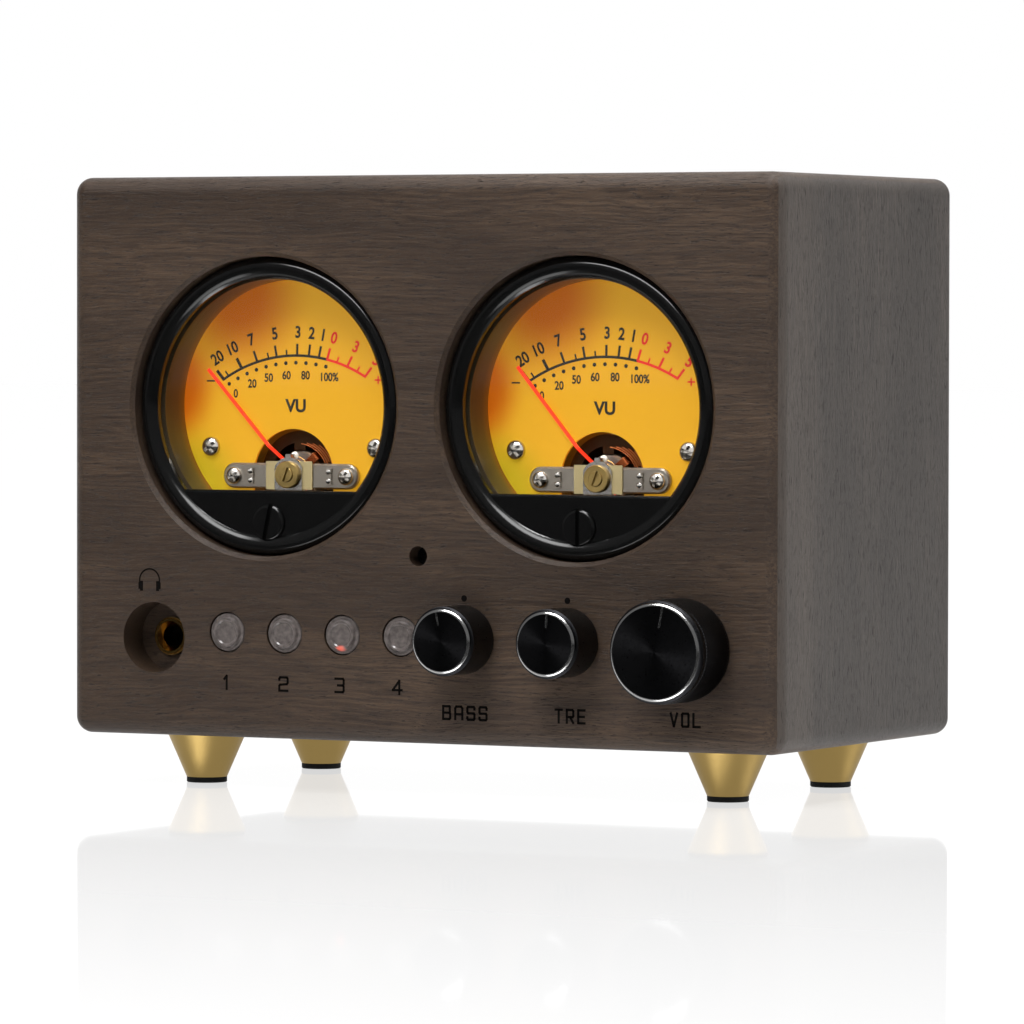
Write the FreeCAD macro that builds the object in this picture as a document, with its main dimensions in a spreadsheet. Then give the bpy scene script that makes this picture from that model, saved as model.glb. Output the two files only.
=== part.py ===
"""Desk-top audio selector with two round VU meters, headphone jack, four source buttons
and three knobs, in a mitred wooden case on brass feet. Millimetres.

Frame of the part: X right as seen from the front, Y into the depth, Z up, origin on the
table under the middle of the bounding box.

Most pieces are drawn face-on: u runs right, v runs up from the bottom of the case and
depth is measured back from the front face of the wood. Pieces that stand upright, such as
the feet, are drawn from above instead, with height measured from the table.
"""
import FreeCAD, Part
import math
import os
import types

import Sketcher
from FreeCAD import Placement, Rotation, Vector

SIZES = [
    ("case_width", 127.0, "outside width of the wooden case"),
    ("case_height", 90.0, "outside height of the wooden case, without feet"),
    ("case_depth", 66.4, "outside depth of the wooden case"),
    ("case_round", 2.7, "radius of every outside edge of the case"),
    ("board_thick", 9.0, "thickness of the five mitred boards"),
    ("rabbet_wide", 4.2, "width of the ledge that the rear panel lies on"),
    ("rabbet_deep", 2.3, "depth of that ledge below the rear edge"),
    ("panel_thick", 1.5, "rear panel sheet"),
    ("panel_gap", 0.15, "clearance round the rear panel"),
    ("foot_height", 8.4, "table to the underside of the case"),
    ("foot_top", 6.35, "radius of a foot under the case"),
    ("foot_base", 3.3, "radius of a foot at its rubber pad"),
    ("foot_side", 16.35, "foot axis in from the side of the case"),
    ("foot_front", 15.9, "front foot axes in from the front"),
    ("foot_rear", 12.0, "rear foot axes in from the rear"),
    ("pad_thick", 0.9, "rubber pad under a foot"),
    ("meter_offset", 27.82, "meter axis to the middle of the case"),
    ("meter_level", 53.18, "meter axis above the underside of the case"),
    ("seat_radius", 24.0, "counterbore that the bezel sits in"),
    ("seat_deep", 5.65, "depth of that counterbore"),
    ("seat_flare", 0.65, "chamfer at its front edge"),
    ("can_hole", 22.15, "hole behind the counterbore"),
    ("bezel_radius", 23.8, "outside of the black bezel"),
    ("bezel_front", 1.5, "crest of the bezel behind the wood's face"),
    ("window_radius", 20.7, "inside of the bezel lip"),
    ("apron_front", 2.2, "face of the bezel's lower apron"),
    ("apron_back", 3.3, "back of that apron"),
    ("apron_top", -13.5, "straight top edge of the apron from the meter axis"),
    ("lens_radius", 21.35, "clear window plate"),
    ("lens_thick", 1.0, "clear window plate"),
    ("lens_base", -14.7, "straight lower edge of the window plate"),
    ("can_radius", 21.9, "outside of the meter housing"),
    ("can_bore", 20.4, "inside of the meter housing in front of the dial"),
    ("can_inner", 18.8, "inside of the meter housing behind the dial"),
    ("can_end", 27.0, "rear of the meter housing"),
    ("can_floor", 25.5, "inner floor of the meter housing"),
    ("dial_front", 10.4, "printed face of the dial"),
    ("dial_thick", 0.5, "translucent dial plate"),
    ("dial_radius", 20.3, "dial plate"),
    ("dial_base", -15.5, "straight lower edge of the dial"),
    ("dial_screw_out", 15.2, "dial screws to each side"),
    ("dial_screw_level", -6.7, "dial screws below the meter axis"),
    ("pivot_level", -11.05, "needle pivot below the meter axis"),
    ("cutout_radius", 7.35, "round opening in the dial over the movement"),
    ("bridge_front", 9.2, "front of the bridge bar"),
    ("bridge_thick", 0.9, "bridge bar"),
    ("bridge_half", 12.4, "half length of the bridge bar"),
    ("bridge_end", 2.05, "radius of the bar's rounded ends"),
    ("bridge_drop", -0.25, "bar's centre line below the pivot"),
    ("post_out", 10.3, "bridge screws to each side of the pivot"),
    ("jewel_radius", 1.2, "slotted jewel screw"),
    ("jewel_front", 7.75, "slotted end of the jewel screw"),
    ("jewel_back", 10.0, "rear end of the jewel screw, round the staff"),
    ("nut_radius", 2.2, "brass lock nut round the jewel screw"),
    ("nut_front", 8.0, "front of that nut"),
    ("lever_radius", 2.8, "round head of the zero lever"),
    ("lever_front", 8.65, "front of the zero lever"),
    ("lever_thick", 0.25, "zero lever sheet"),
    ("core_radius", 3.85, "core magnet"),
    ("core_front", 12.6, "front of the core magnet and yoke"),
    ("core_back", 20.4, "back of the core magnet and yoke"),
    ("yoke_inner", 5.15, "bore of the yoke ring"),
    ("yoke_outer", 7.0, "outside of the yoke ring"),
    ("coil_half", 4.75, "half width of the moving coil"),
    ("coil_wide", 1.6, "width of the coil's winding"),
    ("coil_wire", 0.6, "thickness of the coil's winding"),
    ("staff_radius", 0.45, "needle's steel staff"),
    ("needle_length", 22.9, "pivot to needle tip"),
    ("needle_wide", 0.5, "needle"),
    ("needle_thick", 0.3, "needle"),
    ("needle_root", 10.95, "front of the needle's arm at its hub, behind the dial"),
    ("needle_front", 9.65, "front of the needle over the scale"),
    ("spring_inner", 1.15, "first radius of the hairspring"),
    ("spring_pitch", 0.62, "growth of the hairspring in a turn"),
    ("spring_wire", 0.09, "radius of the hairspring's wire"),
    ("spring_depth", 10.5, "plane of the hairspring"),
    ("zero_radius", 2.9, "head of the zero screw"),
    ("zero_level", -18.6, "zero screw below the meter axis"),
    ("zero_throw", 0.9, "offset of the pin on the zero screw"),
    ("control_level", 16.76, "bass and treble knob axes above the underside"),
    ("bass_across", 8.7, "bass knob axis from the middle of the case"),
    ("treble_across", 27.05, "treble knob axis from the middle of the case"),
    ("volume_across", 47.2, "volume knob axis from the middle of the case"),
    ("volume_level", 16.06, "volume knob axis above the underside"),
    ("bass_front", -8.0, "face of the bass knob, ahead of the wood"),
    ("treble_front", -8.1, "face of the treble knob, ahead of the wood"),
    ("volume_front", -10.6, "face of the volume knob, ahead of the wood"),
    ("knob_gap", 0.5, "space between a knob and the wood"),
    ("shaft_radius", 3.0, "potentiometer shaft"),
    ("bushing_radius", 3.5, "potentiometer bushing"),
    ("button_first", -34.27, "first button from the middle of the case"),
    ("button_pitch", 10.5, "button to button"),
    ("button_level", 16.96, "buttons above the underside"),
    ("button_radius", 3.05, "clear button cap"),
    ("button_hole", 3.25, "hole for a button"),
    ("button_travel", 0.5, "how far a button goes in"),
    ("eye_across", 0.45, "infrared eye from the middle of the case"),
    ("eye_level", 29.75, "infrared eye above the underside"),
    ("eye_hole", 1.6, "hole for the infrared eye"),
    ("jack_across", -47.85, "headphone jack from the middle of the case"),
    ("jack_level", 15.82, "headphone jack above the underside"),
    ("jack_recess", 5.7, "radius of the recess round the jack"),
    ("jack_floor", 6.0, "depth of that recess"),
    ("jack_face", 5.2, "end of the gold barrel behind the wood's face"),
    ("jack_radius", 3.05, "gold barrel"),
    ("jack_bore", 1.8, "bore for a 3.5 mm plug"),
    ("jack_end", 20.2, "inner end of that bore"),
    ("board_front", 17.5, "front of the control circuit board"),
    ("circuit_thick", 1.6, "circuit boards"),
    ("main_level", 22.0, "underside of the main circuit board"),
    ("phono_radius", 4.15, "outside of a phono socket"),
    ("phono_reach", 8.0, "phono socket beyond the rear panel"),
    ("phono_pitch", 18.0, "stereo pair to stereo pair"),
    ("phono_first", -38.0, "first stereo pair from the middle of the case"),
    ("phono_low", 31.5, "lower phono sockets above the underside"),
    ("phono_rise", 14.0, "upper above lower phono sockets"),
    ("inlet_across", 49.5, "power inlet from the middle of the case"),
    ("inlet_level", 30.0, "power inlet above the underside"),
]
NEEDLE_REST = {"left": 42.5, "right": 40.0}
ZERO_SLOT = {"left": -12.0, "right": 0.0}
SPRING_HALF_TURNS = 7
PHONO_PAIRS = 5
FACE_ON = Rotation(Vector(1, 0, 0), 90)
UPRIGHT = Rotation()


class Length:
    """A number of millimetres together with the sheet expression that gives it."""

    def __init__(self, value, text):
        self.value = float(value)
        self.text = text

    def __add__(self, other):
        other = as_length(other)
        return Length(self.value + other.value, f"({self.text} + {other.text})")

    def __sub__(self, other):
        other = as_length(other)
        return Length(self.value - other.value, f"({self.text} - {other.text})")

    def __rsub__(self, other):
        return as_length(other) - self

    def __mul__(self, factor):
        return Length(self.value * factor, f"({self.text} * {factor:.6f})")

    def __truediv__(self, factor):
        return self * (1.0 / factor)

    def __neg__(self):
        return self * -1.0

    __radd__ = __add__
    __rmul__ = __mul__


def as_length(size):
    if isinstance(size, Length):
        return size
    return Length(size, f"({size:.6f})")


def value_of(size):
    return as_length(size).value


def bind(thing, name, size):
    """Sets a dimension, and ties it to the sheet if the size comes from there."""
    if isinstance(size, Length):
        thing.setExpression(name, size.text)
    elif "." not in name:
        setattr(thing, name, size)
    else:
        thing.setExpression(name, as_length(size).text)


doc = FreeCAD.newDocument("audio_selector")


def make_sheet():
    sheet = doc.addObject("Spreadsheet::Sheet", "sizes")
    lengths = {}
    for row, (alias, value, note) in enumerate(SIZES, start=1):
        sheet.set(f"A{row}", note)
        sheet.set(f"B{row}", str(value))
        sheet.setAlias(f"B{row}", alias)
        lengths[alias] = Length(value, f"sizes.{alias}")
    doc.recompute()
    return types.SimpleNamespace(**lengths)


s = make_sheet()
NODES = []

# Sizes that follow from the sheet
panel_front = s.case_depth - s.rabbet_deep
panel_back = panel_front + s.panel_thick
phono_end = panel_back + s.phono_reach
mid_depth = (phono_end + s.volume_front) / 2
half_width = s.case_width / 2
dial_back = s.dial_front + s.dial_thick
bridge_back = s.bridge_front + s.bridge_thick
lens_front = s.apron_back + 0.05
lens_back = lens_front + s.lens_thick
METER_SIDES = {"left": -s.meter_offset, "right": s.meter_offset}


def node(name, thing):
    """Names a finished sub-part, which is written out under that name."""
    thing.Label = name
    NODES.append(thing)
    return thing


def place(thing, u, v, rotation=FACE_ON):
    """Puts a face-on piece into the part's frame, with its own origin at u, v."""
    thing.Placement = Placement(Vector(), rotation)
    bind(thing, "Placement.Base.x", u)
    bind(thing, "Placement.Base.y", -mid_depth)
    bind(thing, "Placement.Base.z", s.foot_height + v)
    return thing


def new_body(name, u=0.0, v=0.0, turned=0.0):
    """A face-on body at u, v, turned anticlockwise by a number of degrees."""
    body = doc.addObject("PartDesign::Body", name)
    place(body, u, v, FACE_ON.multiply(Rotation(Vector(0, 0, 1), turned)))
    return body


def upright_body(name, across=0.0, depth=0.0):
    """A body drawn from above, on the table, at a place across and into the depth."""
    body = doc.addObject("PartDesign::Body", name)
    bind(body, "Placement.Base.x", across)
    bind(body, "Placement.Base.y", depth - mid_depth)
    return body


def new_sketch(body, plane, offset=0.0):
    sketch = body.newObject("Sketcher::SketchObject", f"{body.Name}_{plane}")
    origin = [o for o in body.Origin.OriginFeatures if o.Role == f"{plane}_Plane"][0]
    sketch.AttachmentSupport = [(origin, "")]
    sketch.MapMode = "FlatFace"
    bind(sketch, "AttachmentOffset.Base.z", offset)
    return sketch


def hold_point(sketch, links, geometry, vertex, u, v):
    """Fixes a vertex by its distances from the sketch's origin."""
    for kind, axis, size in (("DistanceX", -2, u), ("DistanceY", -1, v)):
        if abs(value_of(size)) < 1e-9:
            sketch.addConstraint(Sketcher.Constraint("PointOnObject", geometry, vertex, axis))
            continue
        index = sketch.addConstraint(
            Sketcher.Constraint(kind, -1, 1, geometry, vertex, value_of(size)))
        if isinstance(size, Length):
            links.append((index, size))


def circle(u, v, radius):
    """A round loop for a sketch."""
    return ("circle", u, v, radius)


def box(left, low, right, high):
    """A rectangular loop for a sketch."""
    return [(left, low), (right, low), (right, high), (left, high)]


def slanted_box(angle, inner, outer, half):
    """A rectangular loop that runs outwards at an angle clockwise from the top."""
    sine = math.sin(math.radians(angle))
    cosine = math.cos(math.radians(angle))
    corners = [(inner, -half), (outer, -half), (outer, half), (inner, half)]
    return [(along * sine + side * cosine, along * cosine - side * sine)
            for along, side in corners]


def arc_between(start, end, radius):
    """The shorter arc between two points, anticlockwise where the radius is positive."""
    chord = end - start
    across = Vector(-chord.y, chord.x, 0).normalize()
    rise = math.sqrt(max(radius * radius - chord.Length ** 2 / 4, 0.0))
    centre = (start + end) / 2 + across * math.copysign(rise, radius)
    ends = (start, end) if radius > 0 else (end, start)
    angles = [math.atan2(p.y - centre.y, p.x - centre.x) for p in ends]
    if angles[1] <= angles[0]:
        angles[1] += 2 * math.pi
    return Part.ArcOfCircle(Part.Circle(centre, Vector(0, 0, 1), abs(radius)), *angles)


def draw(sketch, loops):
    """Draws closed loops whose every corner and radius is a driven dimension.

    A loop is a circle or a list of corners. A corner with a third value is reached by an
    arc of that radius.
    """
    links = []
    for loop in loops:
        if loop[0] == "circle":
            _, u, v, radius = loop
            centre = Vector(value_of(u), value_of(v), 0)
            index = sketch.addGeometry(Part.Circle(centre, Vector(0, 0, 1), value_of(radius)))
            hold_point(sketch, links, index, 3, u, v)
            held = sketch.addConstraint(
                Sketcher.Constraint("Radius", index, value_of(radius)))
            links.append((held, as_length(radius)))
            continue
        draw_corners(sketch, links, loop)
    for index, size in links:
        sketch.setExpression(f"Constraints[{index}]", size.text)
    return sketch


def draw_corners(sketch, links, loop):
    points = [Vector(value_of(c[0]), value_of(c[1]), 0) for c in loop]
    ends = []
    for i, corner in enumerate(loop):
        start, end = points[i - 1], points[i]
        if len(corner) == 2:
            index = sketch.addGeometry(Part.LineSegment(start, end))
            ends.append((index, 1, 2))
            continue
        radius = value_of(corner[2])
        index = sketch.addGeometry(arc_between(start, end, radius))
        ends.append((index, 1, 2) if radius > 0 else (index, 2, 1))
        held = sketch.addConstraint(Sketcher.Constraint("Radius", index, abs(radius)))
        size = as_length(corner[2])
        links.append((held, size if radius > 0 else -size))
    for i, corner in enumerate(loop):
        index, _, tip = ends[i]
        following, tail, _ = ends[(i + 1) % len(ends)]
        sketch.addConstraint(Sketcher.Constraint("Coincident", index, tip, following, tail))
        hold_point(sketch, links, index, tip, corner[0], corner[1])


def turn(body, corners, cut=False):
    """Revolves a profile of radius and depth, or height on an upright body."""
    facing = 1 if is_upright(body) else -1
    loop = [(c[0], c[1] * facing, *[r * facing for r in c[2:]]) for c in corners]
    sketch = draw(new_sketch(body, "XZ"), [loop])
    kind = "PartDesign::Groove" if cut else "PartDesign::Revolution"
    feature = body.newObject(kind, f"{body.Name}_turned")
    feature.Profile = sketch
    feature.ReferenceAxis = (sketch, ["V_Axis"])
    feature.Angle = 360
    return feature


def is_upright(body):
    return body.Placement.Rotation.isSame(UPRIGHT, 1e-6)


def pad(body, loops, near, far):
    """Adds material between two depths, or two heights on an upright body."""
    offset = near if is_upright(body) else -as_length(far)
    sketch = draw(new_sketch(body, "XY", offset), loops)
    feature = body.newObject("PartDesign::Pad", f"{body.Name}_pad")
    feature.Profile = sketch
    bind(feature, "Length", as_length(far) - near)
    return feature


def pocket(body, loops, near, far):
    """Cuts material away between two depths, or two heights on an upright body."""
    offset = far if is_upright(body) else -as_length(near)
    sketch = draw(new_sketch(body, "XY", offset), loops)
    feature = body.newObject("PartDesign::Pocket", f"{body.Name}_pocket")
    feature.Profile = sketch
    bind(feature, "Length", as_length(far) - near)
    return feature


def bevel(body, feature, test, size, kind="Chamfer"):
    """Chamfers or rounds the edges of a feature that pass a test."""
    doc.recompute()
    edges = [f"Edge{i}" for i, edge in enumerate(feature.Shape.Edges, start=1) if test(edge)]
    dressing = body.newObject(f"PartDesign::{kind}", f"{body.Name}_{kind.lower()}")
    dressing.Base = (feature, edges)
    bind(dressing, "Size" if kind == "Chamfer" else "Radius", size)
    return dressing


def at_depth(depth, wide=None):
    """Test for edges at one depth of a face-on body, of a given width if that is named."""
    level = -value_of(depth)

    def test(edge):
        bounds = edge.BoundBox
        flat = abs(bounds.ZMin - level) < 1e-4 and abs(bounds.ZMax - level) < 1e-4
        wide_fits = wide is None or abs(bounds.XLength - value_of(wide)) < 1e-3
        return flat and wide_fits

    return test


def group(name, members):
    """Several like pieces in one node, as separate solids."""
    together = doc.addObject("Part::Compound", name)
    together.Links = members
    return node(name, together)


def drill(name, radius, length, u, v, depth, axis):
    """A round cutter in face-on coordinates, pointing back into the depth or up."""
    cutter = doc.addObject("Part::Cylinder", name)
    turns = {"back": Rotation(Vector(1, 0, 0), 180), "up": Rotation(Vector(1, 0, 0), -90)}
    cutter.Placement = Placement(Vector(), turns[axis])
    bind(cutter, "Radius", radius)
    bind(cutter, "Height", length)
    bind(cutter, "Placement.Base.x", u)
    bind(cutter, "Placement.Base.y", v)
    bind(cutter, "Placement.Base.z", -as_length(depth))
    return cutter


def boolean(kind, name, base, tool):
    result = doc.addObject(f"Part::{kind}", name)
    result.Base = base
    result.Tool = tool
    return result


def solid_box(name, u_low, u_high, v_low, v_high, near, far):
    block = doc.addObject("Part::Box", name)
    bind(block, "Length", as_length(u_high) - u_low)
    bind(block, "Width", as_length(v_high) - v_low)
    bind(block, "Height", as_length(far) - near)
    bind(block, "Placement.Base.x", u_low)
    bind(block, "Placement.Base.y", v_low)
    bind(block, "Placement.Base.z", -as_length(far))
    return block


# Places that several pieces share
def foot_places():
    out = half_width - s.foot_side
    ends = {"front": s.foot_front, "rear": s.case_depth - s.foot_rear}
    sides = {"left": -out, "right": out}
    return {f"{end}_{side}": (sides[side], ends[end]) for end in ends for side in sides}


def panel_screw_places():
    out = half_width - s.board_thick + s.rabbet_wide / 2
    low = s.board_thick - s.rabbet_wide / 2
    high = s.case_height - s.board_thick + s.rabbet_wide / 2
    return [(across, level) for across in (-out, 0.0, out) for level in (low, high)]


def phono_places():
    return [s.phono_first + s.phono_pitch * i for i in range(PHONO_PAIRS)]


def button_places():
    return [s.button_first + s.button_pitch * i for i in range(4)]


def both_meters(make):
    """Makes one piece for each meter from the meter's side and its axis."""
    return [make(side, across) for side, across in METER_SIDES.items()]


# The case: a rounded block, hollowed from behind and cut along its mitres
def case_shell():
    block = solid_box("case_block", -half_width, half_width, 0.0, s.case_height,
                      0.0, s.case_depth)
    doc.recompute()
    rounded = doc.addObject("Part::Fillet", "case_rounded")
    rounded.Base = block
    radius = s.case_round.value
    rounded.Edges = [(i + 1, radius, radius) for i in range(len(block.Shape.Edges))]
    inner = half_width - s.board_thick
    hollow = solid_box("case_hollow", -inner, inner, s.board_thick,
                       s.case_height - s.board_thick, s.board_thick, s.case_depth)
    ledge = inner + s.rabbet_wide
    rabbet = solid_box("case_rabbet", -ledge, ledge, s.board_thick - s.rabbet_wide,
                       s.case_height - s.board_thick + s.rabbet_wide, panel_front,
                       s.case_depth)
    cutters = [hollow, rabbet]
    for number, (u, v) in enumerate(panel_screw_places()):
        cutters.append(drill(f"panel_pilot_{number}", 1.05, 9.0, u, v,
                             panel_front - 8.5, "back"))
    for name, (u, depth) in foot_places().items():
        cutters.append(drill(f"foot_pilot_{name}", 1.55, 7.0, u, -0.5, depth, "up"))
    removed = doc.addObject("Part::MultiFuse", "case_removed")
    removed.Shapes = cutters
    return boolean("Cut", "case_shell", rounded, removed)


def mitre_wedge(name, rotation, start, end, wide_low, wide_high, deep_low, taper_low,
                taper_high):
    """A block that narrows at 45 degrees from a board's outside to its inside.

    It runs from start to end along its own Y. The wide end has the full outline and the
    other end is one board thickness smaller on the mitred edges.
    """
    wedge = doc.addObject("Part::Wedge", name)
    wedge.Placement = Placement(Vector(), rotation)
    inward = {"": taper_low, "2": taper_high}
    bind(wedge, "Ymin", start)
    bind(wedge, "Ymax", end)
    for mark, taper in inward.items():
        bind(wedge, f"X{mark}min", wide_low + taper)
        bind(wedge, f"X{mark}max", wide_high - taper)
        bind(wedge, f"Z{mark}min", deep_low)
        bind(wedge, f"Z{mark}max", -taper)
    return wedge


def front_wedge():
    wedge = doc.addObject("Part::Wedge", "front_wedge")
    wedge.Placement = Placement(Vector(), Rotation(Vector(1, 0, 0), 90))
    bind(wedge, "Ymin", -s.board_thick)
    bind(wedge, "Ymax", 0.0)
    for mark, taper in (("", s.board_thick), ("2", as_length(0.0))):
        bind(wedge, f"X{mark}min", taper - half_width)
        bind(wedge, f"X{mark}max", half_width - taper)
        bind(wedge, f"Z{mark}min", taper - s.case_height)
        bind(wedge, f"Z{mark}max", -taper)
    return wedge


def case_boards():
    shell = case_shell()
    none, full = as_length(0.0), s.board_thick
    rear = -s.case_depth
    about = Vector(0, 0, 1)
    inner = half_width - s.board_thick
    top = s.case_height - s.board_thick
    wedges = {
        "top_board": (Rotation(), top, s.case_height, -half_width, half_width, full, none),
        "bottom_board": (Rotation(), none, full, -half_width, half_width, none, full),
        "left_board": (Rotation(about, 90), inner, half_width, none, s.case_height,
                       full, none),
        "right_board": (Rotation(about, -90), inner, half_width, -s.case_height, none,
                        full, none),
    }
    for name, (rotation, start, end, low, high, taper, taper_end) in wedges.items():
        wedge = mitre_wedge(f"{name}_wedge", rotation, start, end, low, high, rear,
                            taper, taper_end)
        board = boolean("Common", name, shell, wedge)
        node(name, place(board, 0.0, 0.0))
    front_board(boolean("Common", "front_blank", shell, front_wedge()))


def front_board(blank):
    """The front board, bored for the meters, the controls, the jack and the eye."""
    body = doc.addObject("PartDesign::Body", "front_board")
    body.BaseFeature = blank
    place(body, 0.0, 0.0)
    meters = [circle(u, s.meter_level, s.seat_radius) for u in METER_SIDES.values()]
    seats = pocket(body, meters, 0.0, s.seat_deep)
    bevel(body, seats, at_depth(0.0, wide=s.seat_radius * 2), s.seat_flare)
    cans = [circle(u, s.meter_level, s.can_hole) for u in METER_SIDES.values()]
    pocket(body, cans, 0.0, s.board_thick)
    pocket(body, [circle(s.jack_across, s.jack_level, s.jack_recess)], 0.0, s.jack_floor)
    holes = [circle(u, s.button_level, s.button_hole) for u in button_places()]
    holes.append(circle(s.jack_across, s.jack_level, s.jack_radius + 0.1))
    holes.append(circle(s.bass_across, s.control_level, s.bushing_radius + 0.2))
    holes.append(circle(s.treble_across, s.control_level, s.bushing_radius + 0.2))
    holes.append(circle(s.volume_across, s.volume_level, s.bushing_radius + 0.2))
    holes.append(circle(s.eye_across, s.eye_level, s.eye_hole))
    pocket(body, holes, 0.0, s.board_thick)
    node("front_board", body)


# The rear: a sheet panel in the rabbet, its screws and the sockets
def rear_panel():
    side = half_width - s.board_thick + s.rabbet_wide - s.panel_gap
    low = s.board_thick - s.rabbet_wide + s.panel_gap
    high = s.case_height - s.board_thick + s.rabbet_wide - s.panel_gap
    body = new_body("rear_panel")
    pad(body, [box(-side, low, side, high)], panel_front, panel_back)
    holes = [circle(u, v, 1.25) for u, v in panel_screw_places()]
    for across in phono_places():
        for rise in (0.0, 1.0):
            holes.append(circle(across, s.phono_low + s.phono_rise * rise,
                                s.phono_radius + 0.15))
    holes.append(circle(s.inlet_across, s.inlet_level, 4.15))
    pocket(body, holes, panel_front, panel_back)
    node("rear_panel", body)


def pan_screw(name, u, v, head, head_front, seat, shaft, shaft_end, sign=1):
    """A round-headed screw. Its head's crown is at head_front and it sits at seat."""
    body = new_body(name, u, v)
    crown = head_front + 0.35 * sign
    turn(body, [(0.0, head_front), (head * 0.6, head_front), (head, crown), (head, seat),
                (shaft, seat), (shaft, shaft_end), (0.0, shaft_end)])
    return body


def rear_panel_screws():
    screws = []
    for number, (u, v) in enumerate(panel_screw_places()):
        screws.append(pan_screw(f"panel_screw_{number}", u, v, 2.05, panel_back + 1.2,
                                panel_back, 1.0, panel_front - 7.0, -1))
    group("rear_panel_screws", screws)


def phono_sockets():
    """Five stereo pairs, each a moulded block with two round sockets one above the other."""
    blocks = []
    for number, across in enumerate(phono_places(), start=1):
        body = new_body(f"phono_pair_{number}", across, s.phono_low)
        block_low = s.main_level + s.circuit_thick - s.phono_low
        pad(body, [box(-5.0, block_low, 5.0, s.phono_rise + 6.0)], panel_front - 11.0,
            panel_front)
        rises = [s.phono_rise * rise for rise in (0.0, 1.0)]
        necks = [circle(0.0, rise, s.phono_radius - 0.3) for rise in rises]
        pad(body, necks, panel_front, panel_back + 0.4)
        rounds = [circle(0.0, rise, s.phono_radius) for rise in rises]
        barrels = pad(body, rounds, panel_back + 0.4, phono_end)
        bevel(body, barrels, at_depth(phono_end), 0.3)
        bores = [circle(0.0, rise, 1.6) for rise in rises]
        pocket(body, bores, phono_end - 7.0, phono_end)
        blocks.append(body)
    group("phono_sockets", blocks)


def power_inlet():
    """Coaxial inlet: a bore for a 5.5 mm plug with a centre pin."""
    body = new_body("power_inlet", s.inlet_across, s.inlet_level)
    foot = s.main_level + s.circuit_thick - s.inlet_level
    pad(body, [box(-4.6, foot, 4.6, 5.4)], panel_front - 12.0, panel_front)
    pad(body, [circle(0.0, 0.0, 4.0)], panel_front, panel_back + 0.6)
    pocket(body, [circle(0.0, 0.0, 2.85)], panel_back - 8.0, panel_back + 0.6)
    pad(body, [circle(0.0, 0.0, 1.0)], panel_back - 8.0, panel_back - 0.4)
    node("power_inlet", body)


def main_board():
    """Circuit board under the sockets at the rear."""
    body = upright_body("main_board")
    height = s.foot_height + s.main_level
    pad(body, [box(-52.0, 27.5, 52.0, panel_front - 0.3)], height,
        height + s.circuit_thick)
    node("main_board", body)


# The feet: turned brass cones with rubber pads
def feet():
    pads, screws = [], []
    seat = s.pad_thick + 2.4
    for name, (u, depth) in foot_places().items():
        foot = upright_body(f"foot_{name}", u, depth)
        turn(foot, [(1.6, seat), (2.4, seat), (2.4, s.pad_thick),
                    (s.foot_base, s.pad_thick), (s.foot_top, s.foot_height - 0.5),
                    (s.foot_top - 0.25, s.foot_height), (1.6, s.foot_height)])
        node(f"foot_{name}", foot)
        rubber = upright_body(f"foot_pad_{name}", u, depth)
        turn(rubber, [(0.0, 0.0), (s.foot_base - 0.15, 0.0), (s.foot_base, 0.15),
                      (s.foot_base, s.pad_thick), (0.0, s.pad_thick)])
        pads.append(rubber)
        screw = upright_body(f"foot_screw_{name}", u, depth)
        turn(screw, [(0.0, seat - 1.7), (2.2, seat - 1.7), (2.2, seat), (1.5, seat),
                     (1.5, s.foot_height + 6.0), (0.0, s.foot_height + 6.0)])
        screws.append(screw)
    group("foot_pads", pads)
    group("foot_screws", screws)


# The meters: bezel, window and housing
def meter_bezel(side, across):
    """Ring and lower apron in one moulding, with a seat for the window and the screw."""
    body = new_body(f"meter_bezel_{side}", across, s.meter_level)
    crest = s.window_radius + 1.6
    back = s.seat_deep
    turn(body, [(s.window_radius, s.apron_back), (s.window_radius, s.bezel_front + 0.9),
                (crest, s.bezel_front, 2.2), (s.bezel_radius, s.bezel_front + 1.5, 1.5),
                (s.bezel_radius, back), (s.lens_radius + 0.1, back),
                (s.lens_radius + 0.1, s.apron_back)])
    rim = s.window_radius + 0.2
    reach = math.sqrt(rim.value ** 2 - s.apron_top.value ** 2)
    pad(body, [[(-reach, s.apron_top), (0.0, -rim, rim), (reach, s.apron_top, rim)]],
        s.apron_front, s.apron_back)
    boss_back = s.apron_back + 1.0
    pad(body, [circle(0.0, s.zero_level, s.zero_radius + 0.5)], s.apron_back, boss_back)
    pocket(body, [circle(0.0, s.zero_level, s.zero_radius + 0.06)], 0.0,
           s.apron_front + 0.9)
    pocket(body, [circle(0.0, s.zero_level, 1.26)], s.apron_front, boss_back)
    node(f"meter_bezel_{side}", body)


def meter_lens(side, across):
    """Clear plate behind the bezel's lip, cut straight below."""
    body = new_body(f"meter_lens_{side}", across, s.meter_level)
    plate = [circle(0.0, 0.0, s.lens_radius)]
    pad(body, plate, lens_front, lens_back)
    wide = s.lens_radius + 1.0
    pocket(body, [box(-wide, -wide, wide, s.lens_base)], lens_front, lens_back)
    node(f"meter_lens_{side}", body)


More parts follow.
